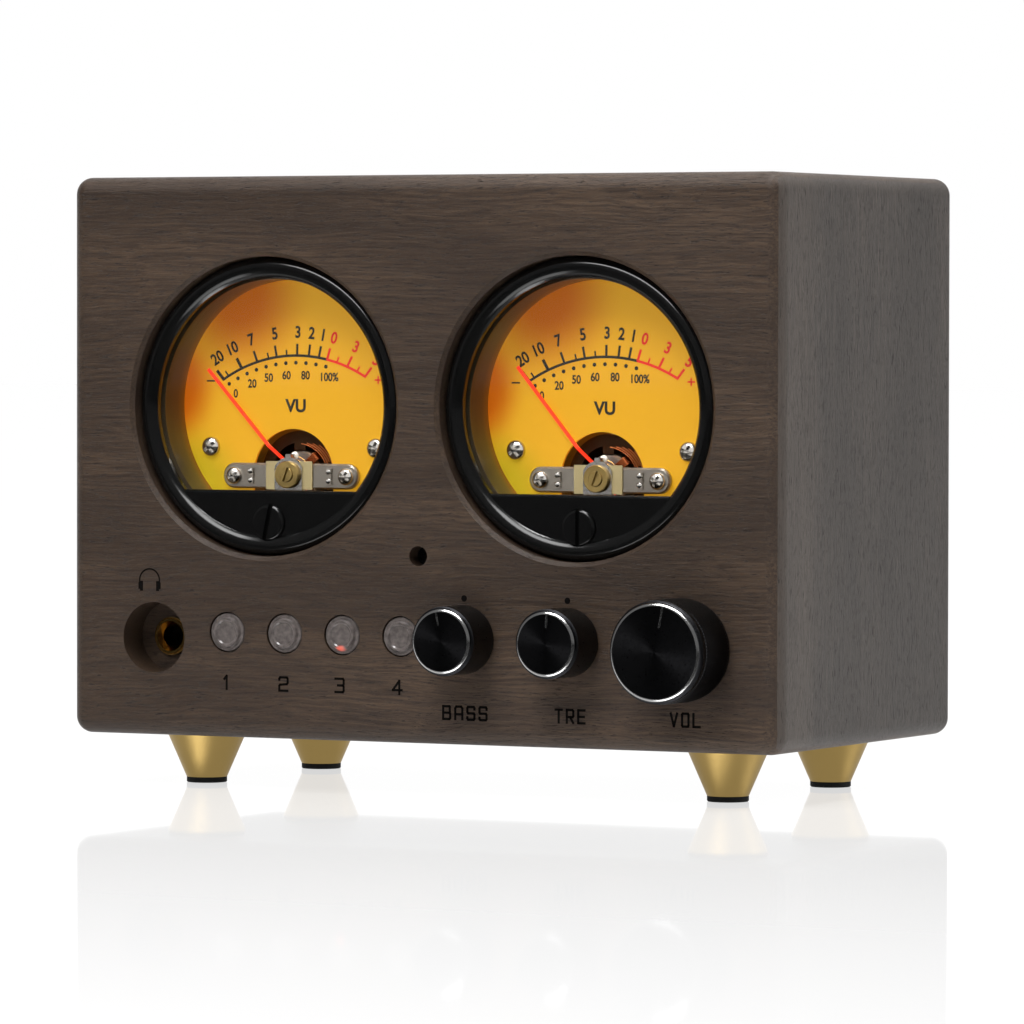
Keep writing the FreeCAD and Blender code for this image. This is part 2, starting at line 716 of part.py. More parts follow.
def meter_housing(side, across):
    """Round moulded can: a spigot in the bezel, a ledge for the dial, screw bosses."""
    body = new_body(f"meter_housing_{side}", across, s.meter_level)
    spigot = s.lens_radius - 0.05
    turn(body, [(0.0, s.can_end), (0.0, s.can_floor), (s.can_inner, s.can_floor),
                (s.can_inner, dial_back), (s.can_bore, dial_back),
                (s.can_bore, lens_back + 0.05), (spigot, lens_back + 0.05),
                (spigot, s.seat_deep), (s.can_radius, s.seat_deep),
                (s.can_radius, s.can_end)])
    places = [(out, s.dial_screw_level) for out in (-s.dial_screw_out, s.dial_screw_out)]
    pad(body, [circle(u, v, 2.2) for u, v in places], dial_back, s.can_floor + 0.2)
    pocket(body, [circle(u, v, 0.85) for u, v in places], dial_back, dial_back + 7.0)
    node(f"meter_housing_{side}", body)


# The meters: dial, bridge and screws
def meter_dial(side, across):
    """Translucent plate with the opening over the movement and holes for the posts."""
    body = new_body(f"meter_dial_{side}", across, s.meter_level)
    pad(body, [circle(0.0, 0.0, s.dial_radius)], s.dial_front, dial_back)
    wide = s.dial_radius + 1.0
    pocket(body, [box(-wide, -wide, wide, s.dial_base)], s.dial_front, dial_back)
    opening = [(-s.cutout_radius, s.dial_base - 1.0), (s.cutout_radius, s.dial_base - 1.0),
               (s.cutout_radius, s.pivot_level),
               (0.0, s.pivot_level + s.cutout_radius, s.cutout_radius),
               (-s.cutout_radius, s.pivot_level, s.cutout_radius)]
    pocket(body, [opening], s.dial_front, dial_back)
    holes = []
    for sign in (-1.0, 1.0):
        holes.append(circle(s.post_out * sign, s.pivot_level + s.bridge_drop, 1.8))
        holes.append(circle(s.dial_screw_out * sign, s.dial_screw_level, 0.95))
    pocket(body, holes, s.dial_front, dial_back)
    node(f"meter_dial_{side}", body)


def meter_bridge(side, across):
    """Bar that carries the front jewel, with rounded ends and staked pins."""
    body = new_body(f"meter_bridge_{side}", across, s.meter_level + s.pivot_level)
    low = s.bridge_drop - s.bridge_end
    high = s.bridge_drop + s.bridge_end
    straight = s.bridge_half - s.bridge_end
    bar = [(-straight, low, s.bridge_end), (straight, low),
           (s.bridge_half, s.bridge_drop, s.bridge_end), (straight, high, s.bridge_end),
           (-straight, high), (-s.bridge_half, s.bridge_drop, s.bridge_end)]
    solid = pad(body, [bar], s.bridge_front, bridge_back)
    bevel(body, solid, at_depth(s.bridge_front), 0.3)
    pins = []
    for sign in (-1.0, 1.0):
        for rise in (-0.95, 0.0, 0.95):
            pins.append(box(as_length(7.2 * sign - 0.6), s.bridge_drop + (rise - 0.35),
                            as_length(7.2 * sign + 0.6), s.bridge_drop + (rise + 0.35)))
    pad(body, pins, s.bridge_front - 0.35, s.bridge_front + 0.2)
    holes = [circle(0.0, 0.0, s.jewel_radius + 0.05)]
    for sign in (-1.0, 1.0):
        holes.append(circle(s.post_out * sign, s.bridge_drop, 0.9))
    pocket(body, holes, s.bridge_front - 1.0, bridge_back)
    node(f"meter_bridge_{side}", body)


def bridge_insulator(side, across):
    body = new_body(f"bridge_insulator_{side}", across, s.meter_level + s.pivot_level)
    pad(body, [box(-4.25, -2.4, 4.25, 2.15), circle(0.0, 0.0, s.jewel_radius + 0.1)],
        s.bridge_front - 0.25, s.bridge_front)
    return body


def jewel_nut(side, across):
    body = new_body(f"jewel_nut_{side}", across, s.meter_level + s.pivot_level)
    bore = s.jewel_radius + 0.02
    front, back = s.nut_front, s.nut_front + 0.6
    turn(body, [(bore, back), (bore, front), (s.nut_radius - 0.15, front),
                (s.nut_radius, front + 0.15), (s.nut_radius, back)])
    return body


def jewel_screw(side, across):
    """Slotted screw with the cup that the needle's staff turns in."""
    body = new_body(f"jewel_screw_{side}", across, s.meter_level + s.pivot_level)
    cup = s.staff_radius + 0.08
    front, back = s.jewel_front, s.jewel_back
    turn(body, [(0.0, front), (s.jewel_radius - 0.1, front),
                (s.jewel_radius, front + 0.1), (s.jewel_radius, back), (cup, back),
                (cup, back - 1.0), (0.0, back - 1.0)])
    pocket(body, [slanted_box(20.0, -1.5, 1.5, 0.2)], front - 0.2, front + 0.35)
    return body


def screws_at(name, head, front, seat, end, out, level):
    """Four screws of one kind, two in each meter."""
    screws = []
    for side, across in METER_SIDES.items():
        for sign, mark in ((-1.0, "a"), (1.0, "b")):
            screws.append(pan_screw(f"{name}_{side}_{mark}", across + out * sign,
                                    s.meter_level + level, head, front, seat, 0.8, end))
    group(name, screws)


# The meters: magnet system, coil, needle and hairspring
def meter_yoke(side, across):
    """Soft-iron ring on a frame: posts for the bridge, legs to the floor, rear bearing."""
    body = new_body(f"meter_yoke_{side}", across, s.meter_level + s.pivot_level)
    pad(body, [circle(0.0, 0.0, s.yoke_outer), circle(0.0, 0.0, s.yoke_inner)],
        s.core_front, s.core_back)
    inner = s.yoke_inner + 0.3
    ribs = [box(-1.0, s.core_radius, 1.0, inner), box(-1.0, -inner, 1.0, -s.core_radius)]
    pad(body, ribs, s.core_front, s.core_back)
    low, high = s.bridge_drop - 1.7, s.bridge_drop + 1.7
    for sign in (-1.0, 1.0):
        near, far = s.yoke_outer - 0.6, s.post_out + 1.6
        arm = box(near, low, far, high) if sign > 0 else box(-far, low, -near, high)
        pad(body, [arm], s.core_front, s.core_back)
        post = [circle(s.post_out * sign, s.bridge_drop, 1.5)]
        pad(body, post, bridge_back, s.core_front)
        pad(body, post, s.core_back, s.can_floor)
    pad(body, [box(-s.post_out, s.bridge_drop - 1.2, s.post_out, s.bridge_drop + 1.2)],
        s.core_back + 2.4, s.core_back + 3.6)
    bores = [circle(s.post_out * sign, s.bridge_drop, 0.85) for sign in (-1.0, 1.0)]
    pocket(body, bores, bridge_back, s.core_front + 3.0)
    pocket(body, [circle(0.0, 0.0, 0.48)], s.core_back + 2.4, s.core_back + 3.6)
    return body


def core_magnet(side, across):
    body = new_body(f"core_magnet_{side}", across, s.meter_level + s.pivot_level)
    turn(body, [(0.0, s.core_front), (s.core_radius - 0.3, s.core_front),
                (s.core_radius, s.core_front + 0.3), (s.core_radius, s.core_back),
                (0.0, s.core_back)])
    return body


def meter_lamp(side, across):
    """Small board on the housing's floor with two lamps that light the dial."""
    body = new_body(f"meter_lamp_{side}", across, s.meter_level + 4.0)
    pad(body, [box(-9.0, -2.5, 9.0, 2.5)], s.can_floor - 1.0, s.can_floor)
    lamps = pad(body, [circle(u, 0.0, 1.5) for u in (-6.0, 6.0)], s.can_floor - 3.0,
                s.can_floor - 1.0)
    bevel(body, lamps, at_depth(s.can_floor - 3.0), 0.7, "Fillet")
    return body


def meter_coil(side, across):
    """Winding round the core magnet, with the rear pivot."""
    body = new_body(f"meter_coil_{side}", across, s.meter_level + s.pivot_level,
                    NEEDLE_REST[side])
    half, wide = s.coil_half, s.coil_wide / 2
    front = s.core_front - 0.3 - s.coil_wire
    back = s.core_back + 0.3 + s.coil_wire
    inner = half - s.coil_wire
    pad(body, [box(-half, -wide, half, wide)], front, back)
    window = [box(-inner, -wide - 0.1, inner, wide + 0.1)]
    pocket(body, window, front + s.coil_wire, back - s.coil_wire)
    pad(body, [circle(0.0, 0.0, 0.4)], back, back + 2.0)
    node(f"meter_coil_{side}", body)


def meter_needle(side, across):
    """Needle with its hub and staff. It steps forward through the dial's opening."""
    body = new_body(f"meter_needle_{side}", across, s.meter_level + s.pivot_level,
                    NEEDLE_REST[side])
    staff_front = s.jewel_back - 0.9
    staff_back = s.core_front - 0.3 - s.coil_wire
    hub_front, hub_back, hub_radius = s.jewel_back + 0.3, s.jewel_back + 1.5, 1.0
    turn(body, [(0.0, staff_front), (s.staff_radius, staff_front),
                (s.staff_radius, hub_front), (hub_radius, hub_front),
                (hub_radius, hub_back), (s.staff_radius, hub_back),
                (s.staff_radius, staff_back), (0.0, staff_back)])
    behind, ahead, thick = s.needle_root, s.needle_front, s.needle_thick
    sketch = new_sketch(body, "YZ")
    draw(sketch, [[(-3.2, -behind), (3.2, -behind), (6.2, -ahead),
                   (s.needle_length, -ahead), (s.needle_length, -(ahead + thick)),
                   (6.2, -(ahead + thick)), (3.2, -(behind + thick)),
                   (-3.2, -(behind + thick))]])
    arm = body.newObject("PartDesign::Pad", f"{body.Name}_arm")
    arm.Profile = sketch
    arm.SideType = "Symmetric"
    bind(arm, "Length", s.needle_wide)
    node(f"meter_needle_{side}", body)


def meter_hairspring(side, across):
    """Flat spiral of wire from the hub to the zero lever, in tangent half turns."""
    path, centre, sign = [], Vector(0, 0, -s.spring_depth.value), 1.0
    radius = s.spring_inner.value
    step = s.spring_pitch.value / 2
    for _ in range(SPRING_HALF_TURNS):
        start = centre + Vector(0, -radius * sign, 0)
        middle = centre + Vector(radius * sign, 0, 0)
        end = centre + Vector(0, radius * sign, 0)
        path.append(Part.Arc(start, middle, end).toShape())
        sign = -sign
        centre = centre + Vector(0, step * sign, 0)
        radius += step
    wire = Part.Wire(path)
    ring = Part.Circle(wire.Vertexes[0].Point, Vector(1, 0, 0), s.spring_wire.value)
    shape = wire.makePipeShell([Part.Wire([ring.toShape()])], True, False)
    expected = math.pi * s.spring_wire.value ** 2 * wire.Length
    gap = s.spring_pitch.value - 2 * s.spring_wire.value
    print(f"hairspring {side}: volume {shape.Volume:.4f} of {expected:.4f}, gap {gap:.2f}")
    spring = doc.addObject("Part::Feature", f"meter_hairspring_{side}")
    spring.Shape = shape
    place(spring, across, s.meter_level + s.pivot_level)
    node(f"meter_hairspring_{side}", spring)


# The meters: zero adjustment
def meter_zero_lever(side, across):
    """Sheet lever round the jewel screw: forked tail below, spring tab above."""
    body = new_body(f"meter_zero_lever_{side}", across, s.meter_level + s.pivot_level)
    back = s.lever_front + s.lever_thick
    slot_half, slot_top = 0.45, -5.9
    shoulder, tail, tail_end = 2.5, 1.2, -8.6
    neck = math.sqrt(s.lever_radius.value ** 2 - shoulder ** 2)
    head = s.lever_radius
    outline = [(-tail, -4.4), (-tail, tail_end), (-slot_half, tail_end),
               (-slot_half, slot_top), (slot_half, slot_top), (slot_half, tail_end),
               (tail, tail_end), (tail, -4.4), (shoulder, -3.4), (shoulder, neck),
               (0.0, head, head), (-shoulder, neck, head), (-shoulder, -3.4)]
    pad(body, [outline, circle(0.0, 0.0, s.jewel_radius + 0.08)], s.lever_front, back)
    tab_low, tab_high = head - 0.3, head + 0.5
    pad(body, [box(-0.5, tab_low, 0.5, tab_high)], s.lever_front, s.spring_depth + 0.1)
    node(f"meter_zero_lever_{side}", body)


def meter_zero_screw(side, across):
    """Slotted screw in the apron. A pin off its axis sits in the lever's fork."""
    body = new_body(f"meter_zero_screw_{side}", across, s.meter_level + s.zero_level)
    front = s.apron_front - 0.6
    seat = s.apron_front + 0.85
    turn(body, [(0.0, front), (s.zero_radius - 0.5, front), (s.zero_radius, front + 0.5, 0.5),
                (s.zero_radius, seat), (1.2, seat), (1.2, 7.9), (0.0, 7.9)])
    pocket(body, [slanted_box(-ZERO_SLOT[side], -3.5, 3.5, 0.38)], front - 0.5, front + 0.65)
    pad(body, [circle(0.0, s.zero_throw, 0.35)], 7.8, 9.3)
    node(f"meter_zero_screw_{side}", body)


# The controls on the front
def turned_knob(name, across, level, face, radius, bevel_radius, face_radius, pointer):
    """Knob with a bright bevel, a blind bore from behind and a pointer line."""
    body = new_body(name, across, level)
    bore = s.shaft_radius + 0.02
    base = -s.knob_gap
    bevel_back = face + (bevel_radius - face_radius) * 0.75
    turn(body, [(0.0, face), (face_radius, face), (bevel_radius, bevel_back),
                (radius, bevel_back + (radius - bevel_radius) + 0.12,
                 -0.12 * radius), (radius, base),
                (radius - 0.9, base), (radius - 0.9, base - 1.0), (bore, base - 1.0),
                (bore, face + 1.5), (0.0, face + 1.5)])
    pocket(body, [slanted_box(pointer, face_radius * 0.52, bevel_radius + 0.1, 0.22)],
           face - 0.5, face + 0.3)
    node(name, body)


def shaft(name, across, level, face):
    """Potentiometer shaft with a flat at its end."""
    body = new_body(name, across, level)
    end = face + 1.6
    radius = s.shaft_radius
    turn(body, [(0.0, end), (radius - 0.3, end), (radius, end + 0.3), (radius, 15.0),
                (0.0, 15.0)])
    pocket(body, [box(-4.0, 2.3, 4.0, 4.0)], end - 0.1, -s.knob_gap)
    node(name, body)


def potentiometer(name, across, level):
    body = new_body(name, across, level)
    low = s.board_thick + 1.36 - level
    pad(body, [box(-5.5, low, 5.5, 5.8)], s.board_thick, s.board_front)
    pad(body, [circle(0.0, 0.0, s.bushing_radius)], s.board_thick - 4.5, s.board_thick)
    pocket(body, [circle(0.0, 0.0, s.shaft_radius + 0.05)], s.board_thick - 4.5, 15.2)
    return body


def controls():
    knobs = {
        "bass": (s.bass_across, s.control_level, s.bass_front, 5.45, 5.03, 4.65, -10.5),
        "treble": (s.treble_across, s.control_level, s.treble_front, 5.45, 5.03, 4.65,
                   3.5),
        "volume": (s.volume_across, s.volume_level, s.volume_front, 8.0, 7.54, 7.17,
                   11.0),
    }
    pots = []
    for name, (across, level, face, *rest) in knobs.items():
        turned_knob(f"{name}_knob", across, level, face, *rest)
        shaft(f"{name}_shaft", across, level, face)
        pots.append(potentiometer(f"{name}_potentiometer", across, level))
    group("potentiometers", pots)


def buttons():
    switches = []
    for number, across in enumerate(button_places(), start=1):
        cap = new_body(f"source_button_{number}", across, s.button_level)
        flange = s.board_thick + 0.1
        turn(cap, [(0.0, -0.15), (1.75, -0.15), (1.95, -0.4), (2.25, -0.4), (2.45, 0.1),
                   (2.9, 0.1), (s.button_radius, 0.25), (s.button_radius, 2.2),
                   (2.2, 2.6), (2.2, flange), (3.9, flange), (3.9, flange + 0.8),
                   (1.5, flange + 0.8), (1.5, 13.2), (0.0, 13.2)])
        node(f"source_button_{number}", cap)
        switch = new_body(f"switch_{number}", across, s.button_level)
        pad(switch, [box(-3.0, -3.0, 3.0, 3.0)], s.board_front - 3.3, s.board_front)
        pad(switch, [circle(0.0, 0.0, 1.5)], s.board_front - 3.7, s.board_front - 3.3)
        switches.append(switch)
    group("button_switches", switches)


def infrared_receiver():
    """Dark dome on a round neck in its hole, with the block on the board behind."""
    body = new_body("infrared_receiver", s.eye_across, s.eye_level)
    neck = s.eye_hole - 0.15
    turn(body, [(0.0, 1.3), (neck, 2.6, -1.6), (neck, 9.3), (0.0, 9.3)])
    pad(body, [box(-2.6, -2.6, 2.6, 2.8)], 9.3, s.board_front)
    node("infrared_receiver", body)


def headphone_jack():
    barrel = new_body("jack_barrel", s.jack_across, s.jack_level)
    face, back = s.jack_face, s.board_thick
    lip = s.jack_bore + 0.63
    turn(barrel, [(lip, face), (s.jack_radius - 0.25, face),
                  (s.jack_radius, face + 0.25, -0.25), (s.jack_radius, back),
                  (s.jack_bore, back), (s.jack_bore, face + 0.9)])
    node("jack_barrel", barrel)
    body = new_body("jack_body", s.jack_across, s.jack_level)
    pad(body, [box(-4.5, -5.0, 4.5, 5.0)], s.board_thick, s.jack_end + 1.5)
    pocket(body, [circle(0.0, 0.0, s.jack_bore)], s.board_thick, s.jack_end)
    node("jack_body", body)


def control_board():
    """Circuit board behind the front board, notched for the jack and raised at the eye."""
    body = new_body("control_board")
    low, high, tab = s.board_thick + 0.5, as_length(30.6), s.eye_level + 3.2
    left, right = -(half_width - s.board_thick - 0.4), half_width - s.board_thick - 0.4
    notch_left = s.jack_across - 4.7
    notch_right = s.jack_across + 4.7
    notch_top = s.jack_level + 5.2
    outline = [(left, low), (notch_left, low), (notch_left, notch_top),
               (notch_right, notch_top), (notch_right, low), (right, low), (right, high),
               (s.eye_across + 4.5, high), (s.eye_across + 4.5, tab),
               (s.eye_across - 4.5, tab), (s.eye_across - 4.5, high), (left, high)]
    pad(body, [outline], s.board_front, s.board_front + s.circuit_thick)
    node("control_board", body)


def build():
    case_boards()
    rear_panel()
    rear_panel_screws()
    phono_sockets()
    power_inlet()
    main_board()
    feet()
    for make in (meter_bezel, meter_lens, meter_housing, meter_dial, meter_bridge,
                 meter_coil, meter_needle, meter_hairspring, meter_zero_lever,
                 meter_zero_screw):
        both_meters(make)
    group("bridge_insulators", both_meters(bridge_insulator))
    group("jewel_nuts", both_meters(jewel_nut))
    group("jewel_screws", both_meters(jewel_screw))
    group("meter_yokes", both_meters(meter_yoke))
    group("core_magnets", both_meters(core_magnet))
    group("meter_lamps", both_meters(meter_lamp))
    screws_at("bridge_screws", 1.35, s.bridge_front - 0.85, s.bridge_front,
              s.core_front + 2.5, s.post_out, s.pivot_level + s.bridge_drop)
    screws_at("dial_screws", 1.6, s.dial_front - 0.95, s.dial_front, dial_back + 6.5,
              s.dial_screw_out, s.dial_screw_level)
    controls()
    buttons()
    infrared_receiver()
    headphone_jack()
    control_board()


def check_and_export():
    doc.recompute()
    for thing in doc.Objects:
        if "Invalid" in thing.State or "Error" in thing.State:
            raise RuntimeError(f"{thing.Label} failed: {thing.State}")
    bad = [thing.Label for thing in NODES if thing.Shape.isNull() or
           not thing.Shape.isValid() or not thing.Shape.Solids]
    if bad:
        raise RuntimeError(f"no valid solid in {bad}")
    os.makedirs("parts", exist_ok=True)
    for thing in NODES:
        shape = thing.Shape
        shape.exportStep(f"parts/{thing.Label}.step")
        print(f"{thing.Label}: {len(shape.Solids)} solid, {shape.Volume:.1f} mm3")
    print(len(NODES), "nodes")


build()
check_and_export()
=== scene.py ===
# %% [markdown]
# # Walnut audio selector with two needle meters
#
# This lesson dresses a finished solid model in real materials and adds what is too fine for
# solid modelling: printed scales, lettering, knurling, screw recesses and wound wire. The
# solids come in first. They stay where they are, and everything else is placed against them.

# %% Load the solid model
import math

import bmesh
import bpy
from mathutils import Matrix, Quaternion, Vector


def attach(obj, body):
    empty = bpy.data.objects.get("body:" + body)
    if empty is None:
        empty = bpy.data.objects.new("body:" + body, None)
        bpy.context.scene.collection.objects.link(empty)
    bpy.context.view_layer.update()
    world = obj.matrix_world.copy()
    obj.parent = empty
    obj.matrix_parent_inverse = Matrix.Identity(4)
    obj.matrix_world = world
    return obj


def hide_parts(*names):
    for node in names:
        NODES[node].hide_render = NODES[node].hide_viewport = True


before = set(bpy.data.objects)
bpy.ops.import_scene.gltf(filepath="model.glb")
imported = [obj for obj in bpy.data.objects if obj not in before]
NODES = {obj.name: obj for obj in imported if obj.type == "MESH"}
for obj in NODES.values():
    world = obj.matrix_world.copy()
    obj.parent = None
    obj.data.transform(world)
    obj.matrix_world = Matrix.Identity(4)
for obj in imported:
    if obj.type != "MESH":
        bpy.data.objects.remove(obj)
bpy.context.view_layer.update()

# %% [markdown]
# ## Places and units
#
# Blender works in metres, but a thing this small is easier to think of in millimetres. Every
# place on the front is given as u, to the right of the middle of the case, v, up from the
# underside of the case, and depth, back from the face of the wood. The case stands on feet
# 8.4 mm high, and the origin of the model is on the table under the middle of the whole box.

# %% From the front of the case to Blender's metres
MM = 0.001
CASE_LOW = 8.4
CASE_DEPTH = 66.4
PANEL_BACK = CASE_DEPTH - 0.8
DEPTH_MIDDLE = 31.5
METERS = {"left": -27.82, "right": 27.82}
METER_LEVEL = 53.18
PIVOT_LEVEL = METER_LEVEL - 11.05
REST_ANGLE = {"left": 42.5, "right": 40.0}


def at(u, depth, v):
    """A place on the front of the case, in metres in the model's frame."""
    return Vector((u, depth - DEPTH_MIDDLE, v + CASE_LOW)) * MM


print("middle of the left meter:", tuple(round(x, 4) for x in at(-27.82, 0, METER_LEVEL)))

# %% [markdown]
# ## Two small tools for materials
#
# Colours are written as the hex values that a picture editor shows. Blender mixes light in
# linear values, so one function turns a hex value into those. The other one adds a shader
# node, fills in its sockets and links what feeds it, which keeps each recipe short enough to
# read in one go.

# %% Colour and node helpers
def linear(hex_value):
    """Turns an sRGB hex colour into Blender's linear colour."""
    parts = [int(hex_value[i:i + 2], 16) / 255 for i in (1, 3, 5)]
    return tuple(c / 12.92 if c <= 0.04045 else ((c + 0.055) / 1.055) ** 2.4
                 for c in parts) + (1.0,)


def add(tree, kind, settings=None, links=None):
    """Adds a shader node with its settings, and links its inputs."""
    made = tree.nodes.new("ShaderNode" + kind)
    for name, value in (settings or {}).items():
        if isinstance(name, int) or name in made.inputs:
            made.inputs[name].default_value = value
        else:
            setattr(made, name, value)
    for name, source in (links or {}).items():
        tree.links.new(source, made.inputs[name])
    return made


def start_material(name, colour, roughness, metallic=0.0, **more):
    """A new material with one Principled surface and its plain settings."""
    material = bpy.data.materials.new(name)
    material.use_nodes = True
    tree = material.node_tree
    surface = tree.nodes["Principled BSDF"]
    surface.inputs["Base Color"].default_value = linear(colour)
    surface.inputs["Roughness"].default_value = roughness
    surface.inputs["Metallic"].default_value = metallic
    for socket, value in more.items():
        surface.inputs[socket.replace("_", " ")].default_value = value
    return material, tree, surface


def millimetres(tree):
    """The place on the object in millimetres, which stays with the object as it moves."""
    place = add(tree, "TexCoord")
    return add(tree, "VectorMath", {"operation": "SCALE", "Scale": 1000.0},
               {0: place.outputs["Object"]}).outputs[0]


def stretched(tree, place, scale):
    """The same place with each axis scaled, so that a pattern gets long in one of them."""
    return add(tree, "Mapping", {"Scale": scale}, {"Vector": place}).outputs[0]


def ramp(tree, source, stops):
    """A colour ramp from a list of positions and hex colours."""
    made = add(tree, "ValToRGB", links={"Fac": source})
    while len(made.color_ramp.elements) < len(stops):
        made.color_ramp.elements.new(0.5)
    for element, (position, colour) in zip(made.color_ramp.elements, stops):
        element.position = position
        element.color = linear(colour)
    return made.outputs["Color"]


def mix(tree, factor, first, second):
    """One colour over another by a factor from 0 to 1."""
    made = add(tree, "Mix", {"data_type": "RGBA"}, {0: factor, 6: first, 7: second})
    return made.outputs[2]


def over(tree, factor, below, hex_value):
    """One plain colour over what is below it."""
    plain = add(tree, "RGB")
    plain.outputs[0].default_value = linear(hex_value)
    return mix(tree, factor, below, plain.outputs[0])


def bump(tree, surface, height, depth_mm):
    """Lets a pattern raise the surface by a depth in millimetres."""
    made = add(tree, "Bump", {"Strength": 1.0, "Distance": depth_mm * MM},
               {"Height": height})
    tree.links.new(made.outputs[0], surface.inputs["Normal"])


print("white in linear light:", linear("#FFFFFF")[:3])

# %% [markdown]
# ## Dark walnut
#
# The case is walnut, stained dark, sanded and left with its pores open under a thin satin
# lacquer. Walnut shows three things at once: smoky bands a centimetre or two wide, streaks
# of growth about half a millimetre wide, and short dark pores finer than those, which run
# with the grain. All of them are noise that is stretched along the grain. A slow noise bends
# them first, since no tree grows straight. The pores also press into the surface, so light
# catches their edges.

# %% Walnut, once for each direction of the grain
def walnut(name, grain, dark, middle, light, stave=False):
    """Open-pored stained walnut with its grain along X or Z."""
    material, tree, surface = start_material(name, middle, 0.5, Specular_IOR_Level=0.35)
    place = millimetres(tree)
    along = {"x": 0, "z": 2}[grain]

    def scales(run, across):
        return tuple(run if axis == along else across for axis in range(3))

    sway = add(tree, "TexNoise", {"Scale": 1.0, "Detail": 3.0},
               {"Vector": stretched(tree, place, scales(0.03, 0.09))})
    swung = add(tree, "VectorMath", {"operation": "MULTIPLY_ADD", 1: (4.0, 4.0, 4.0)},
                {0: sway.outputs["Color"], 2: place}).outputs[0]

    def grain_noise(run, across, detail, roughness):
        return add(tree, "TexNoise", {"Scale": 1.0, "Detail": detail,
                                      "Roughness": roughness},
                   {"Vector": stretched(tree, swung, scales(run, across))}).outputs["Fac"]

    bands = grain_noise(0.014, 0.07, 3.0, 0.55)
    streaks = grain_noise(0.06, 2.4, 5.0, 0.7)
    pores = grain_noise(0.5, 7.5, 2.0, 0.5)
    fibres = grain_noise(0.25, 5.5, 4.0, 0.75)
    grown = ramp(tree, streaks, [(0.32, dark), (0.5, middle), (0.7, light)])
    smoke = add(tree, "MapRange", {"From Min": 0.62, "From Max": 0.4, "To Min": 0.0,
                                   "To Max": 0.6}, {"Value": bands}).outputs[0]
    colour = over(tree, smoke, grown, dark)
    if stave:
        edge = add(tree, "SeparateXYZ", links={"Vector": place}).outputs["Y"]
        joint = add(tree, "MapRange", {"From Min": stave, "From Max": stave + 5.0,
                                       "To Min": 0.4, "To Max": 0.0}, {"Value": edge})
        colour = over(tree, joint.outputs[0], colour, light)
    shade = add(tree, "MapRange", {"From Min": 0.35, "From Max": 0.65, "To Min": 0.3,
                                   "To Max": 0.0}, {"Value": fibres}).outputs[0]
    colour = over(tree, shade, colour, "#120D0A")
    holes = add(tree, "MapRange", {"From Min": 0.39, "From Max": 0.31},
                {"Value": pores}).outputs[0]
    faint = add(tree, "Math", {"operation": "MULTIPLY", 1: 0.65}, {0: holes}).outputs[0]
    colour = over(tree, faint, colour, "#0E0A08")
    tree.links.new(colour, surface.inputs["Base Color"])
    sheen = add(tree, "MapRange", {"To Min": 0.4, "To Max": 0.7}, {"Value": holes})
    tree.links.new(sheen.outputs[0], surface.inputs["Roughness"])
    relief = add(tree, "Math", {"operation": "SUBTRACT"}, {0: fibres, 1: holes}).outputs[0]
    bump(tree, surface, relief, 0.1)
    return material


front_walnut = walnut("walnut_open_pored", "x", "#33271F", "#4B3B2E", "#5E4B3A")
side_walnut = walnut("walnut_upright_grain", "z", "#3E3834", "#4E4742", "#625850",
                     stave=-22.0)
for board in ("front_board", "top_board", "bottom_board"):
    NODES[board].data.materials.clear()
    NODES[board].data.materials.append(front_walnut)
for board in ("left_board", "right_board"):
    NODES[board].data.materials.clear()
    NODES[board].data.materials.append(side_walnut)
print("walnut on five boards")

# %% [markdown]
# ## Plastics, rubber and paint
#
# Moulded parts take their gloss from the steel mould. The bezels come from a polished mould,
# so they are ABS with a mirror-like skin. The sockets and switches come from a mould that
# was spark-eroded, which leaves a fine matt grain. A very slight noise in the roughness is
# what keeps a black part from looking like a hole in the picture.

# %% Moulded and painted finishes
def moulded(name, colour, roughness, grain_mm, depth_mm, **more):
    """A moulded plastic, rubber or paint with a fine grain of a given size."""
    material, tree, surface = start_material(name, colour, roughness, **more)
    place = millimetres(tree)
    grain = add(tree, "TexNoise", {"Scale": 1.0 / grain_mm, "Detail": 2.0},
                {"Vector": place})
    wear = add(tree, "MapRange", {"To Min": roughness * 0.8, "To Max": roughness * 1.25},
               {"Value": grain.outputs["Fac"]})
    tree.links.new(wear.outputs[0], surface.inputs["Roughness"])
    bump(tree, surface, grain.outputs["Fac"], depth_mm)
    return material


polished_abs = moulded("abs_polished_black", "#0B0B0B", 0.16, 0.6, 0.0015, IOR=1.52)
matt_abs = moulded("abs_matt_black", "#161616", 0.55, 0.25, 0.01, IOR=1.52)
rubber = moulded("rubber_black", "#121212", 0.8, 0.2, 0.02, IOR=1.45)
black_paint = moulded("stove_enamel_black", "#141414", 0.35, 0.3, 0.004)
# Paint sunk into a groove mirrors almost nothing.
engraved = moulded("engraving_filled_black", "#080605", 0.7, 0.2, 0.01,
                   Specular_IOR_Level=0.1)
scale_black = moulded("screen_ink_black", "#120A05", 0.5, 0.3, 0.002)
# The red ink is given a faint painted glow of its own.
scale_red = moulded("screen_ink_red", "#D8180A", 0.5, 0.3, 0.002,
                    Emission_Color=linear("#E0160A"), Emission_Strength=0.1)
laminate = moulded("phenolic_laminate_tan", "#9A8B62", 0.5, 0.35, 0.01)
solder_mask = moulded("solder_mask_green", "#0E3B22", 0.3, 0.5, 0.004)
white_abs = moulded("abs_white", "#E4E2DC", 0.35, 0.3, 0.004)
red_abs = moulded("abs_red", "#B01A14", 0.35, 0.3, 0.004)
white_ink = moulded("screen_ink_white", "#D9D9D6", 0.55, 0.2, 0.002)
print("moulded and painted finishes ready")
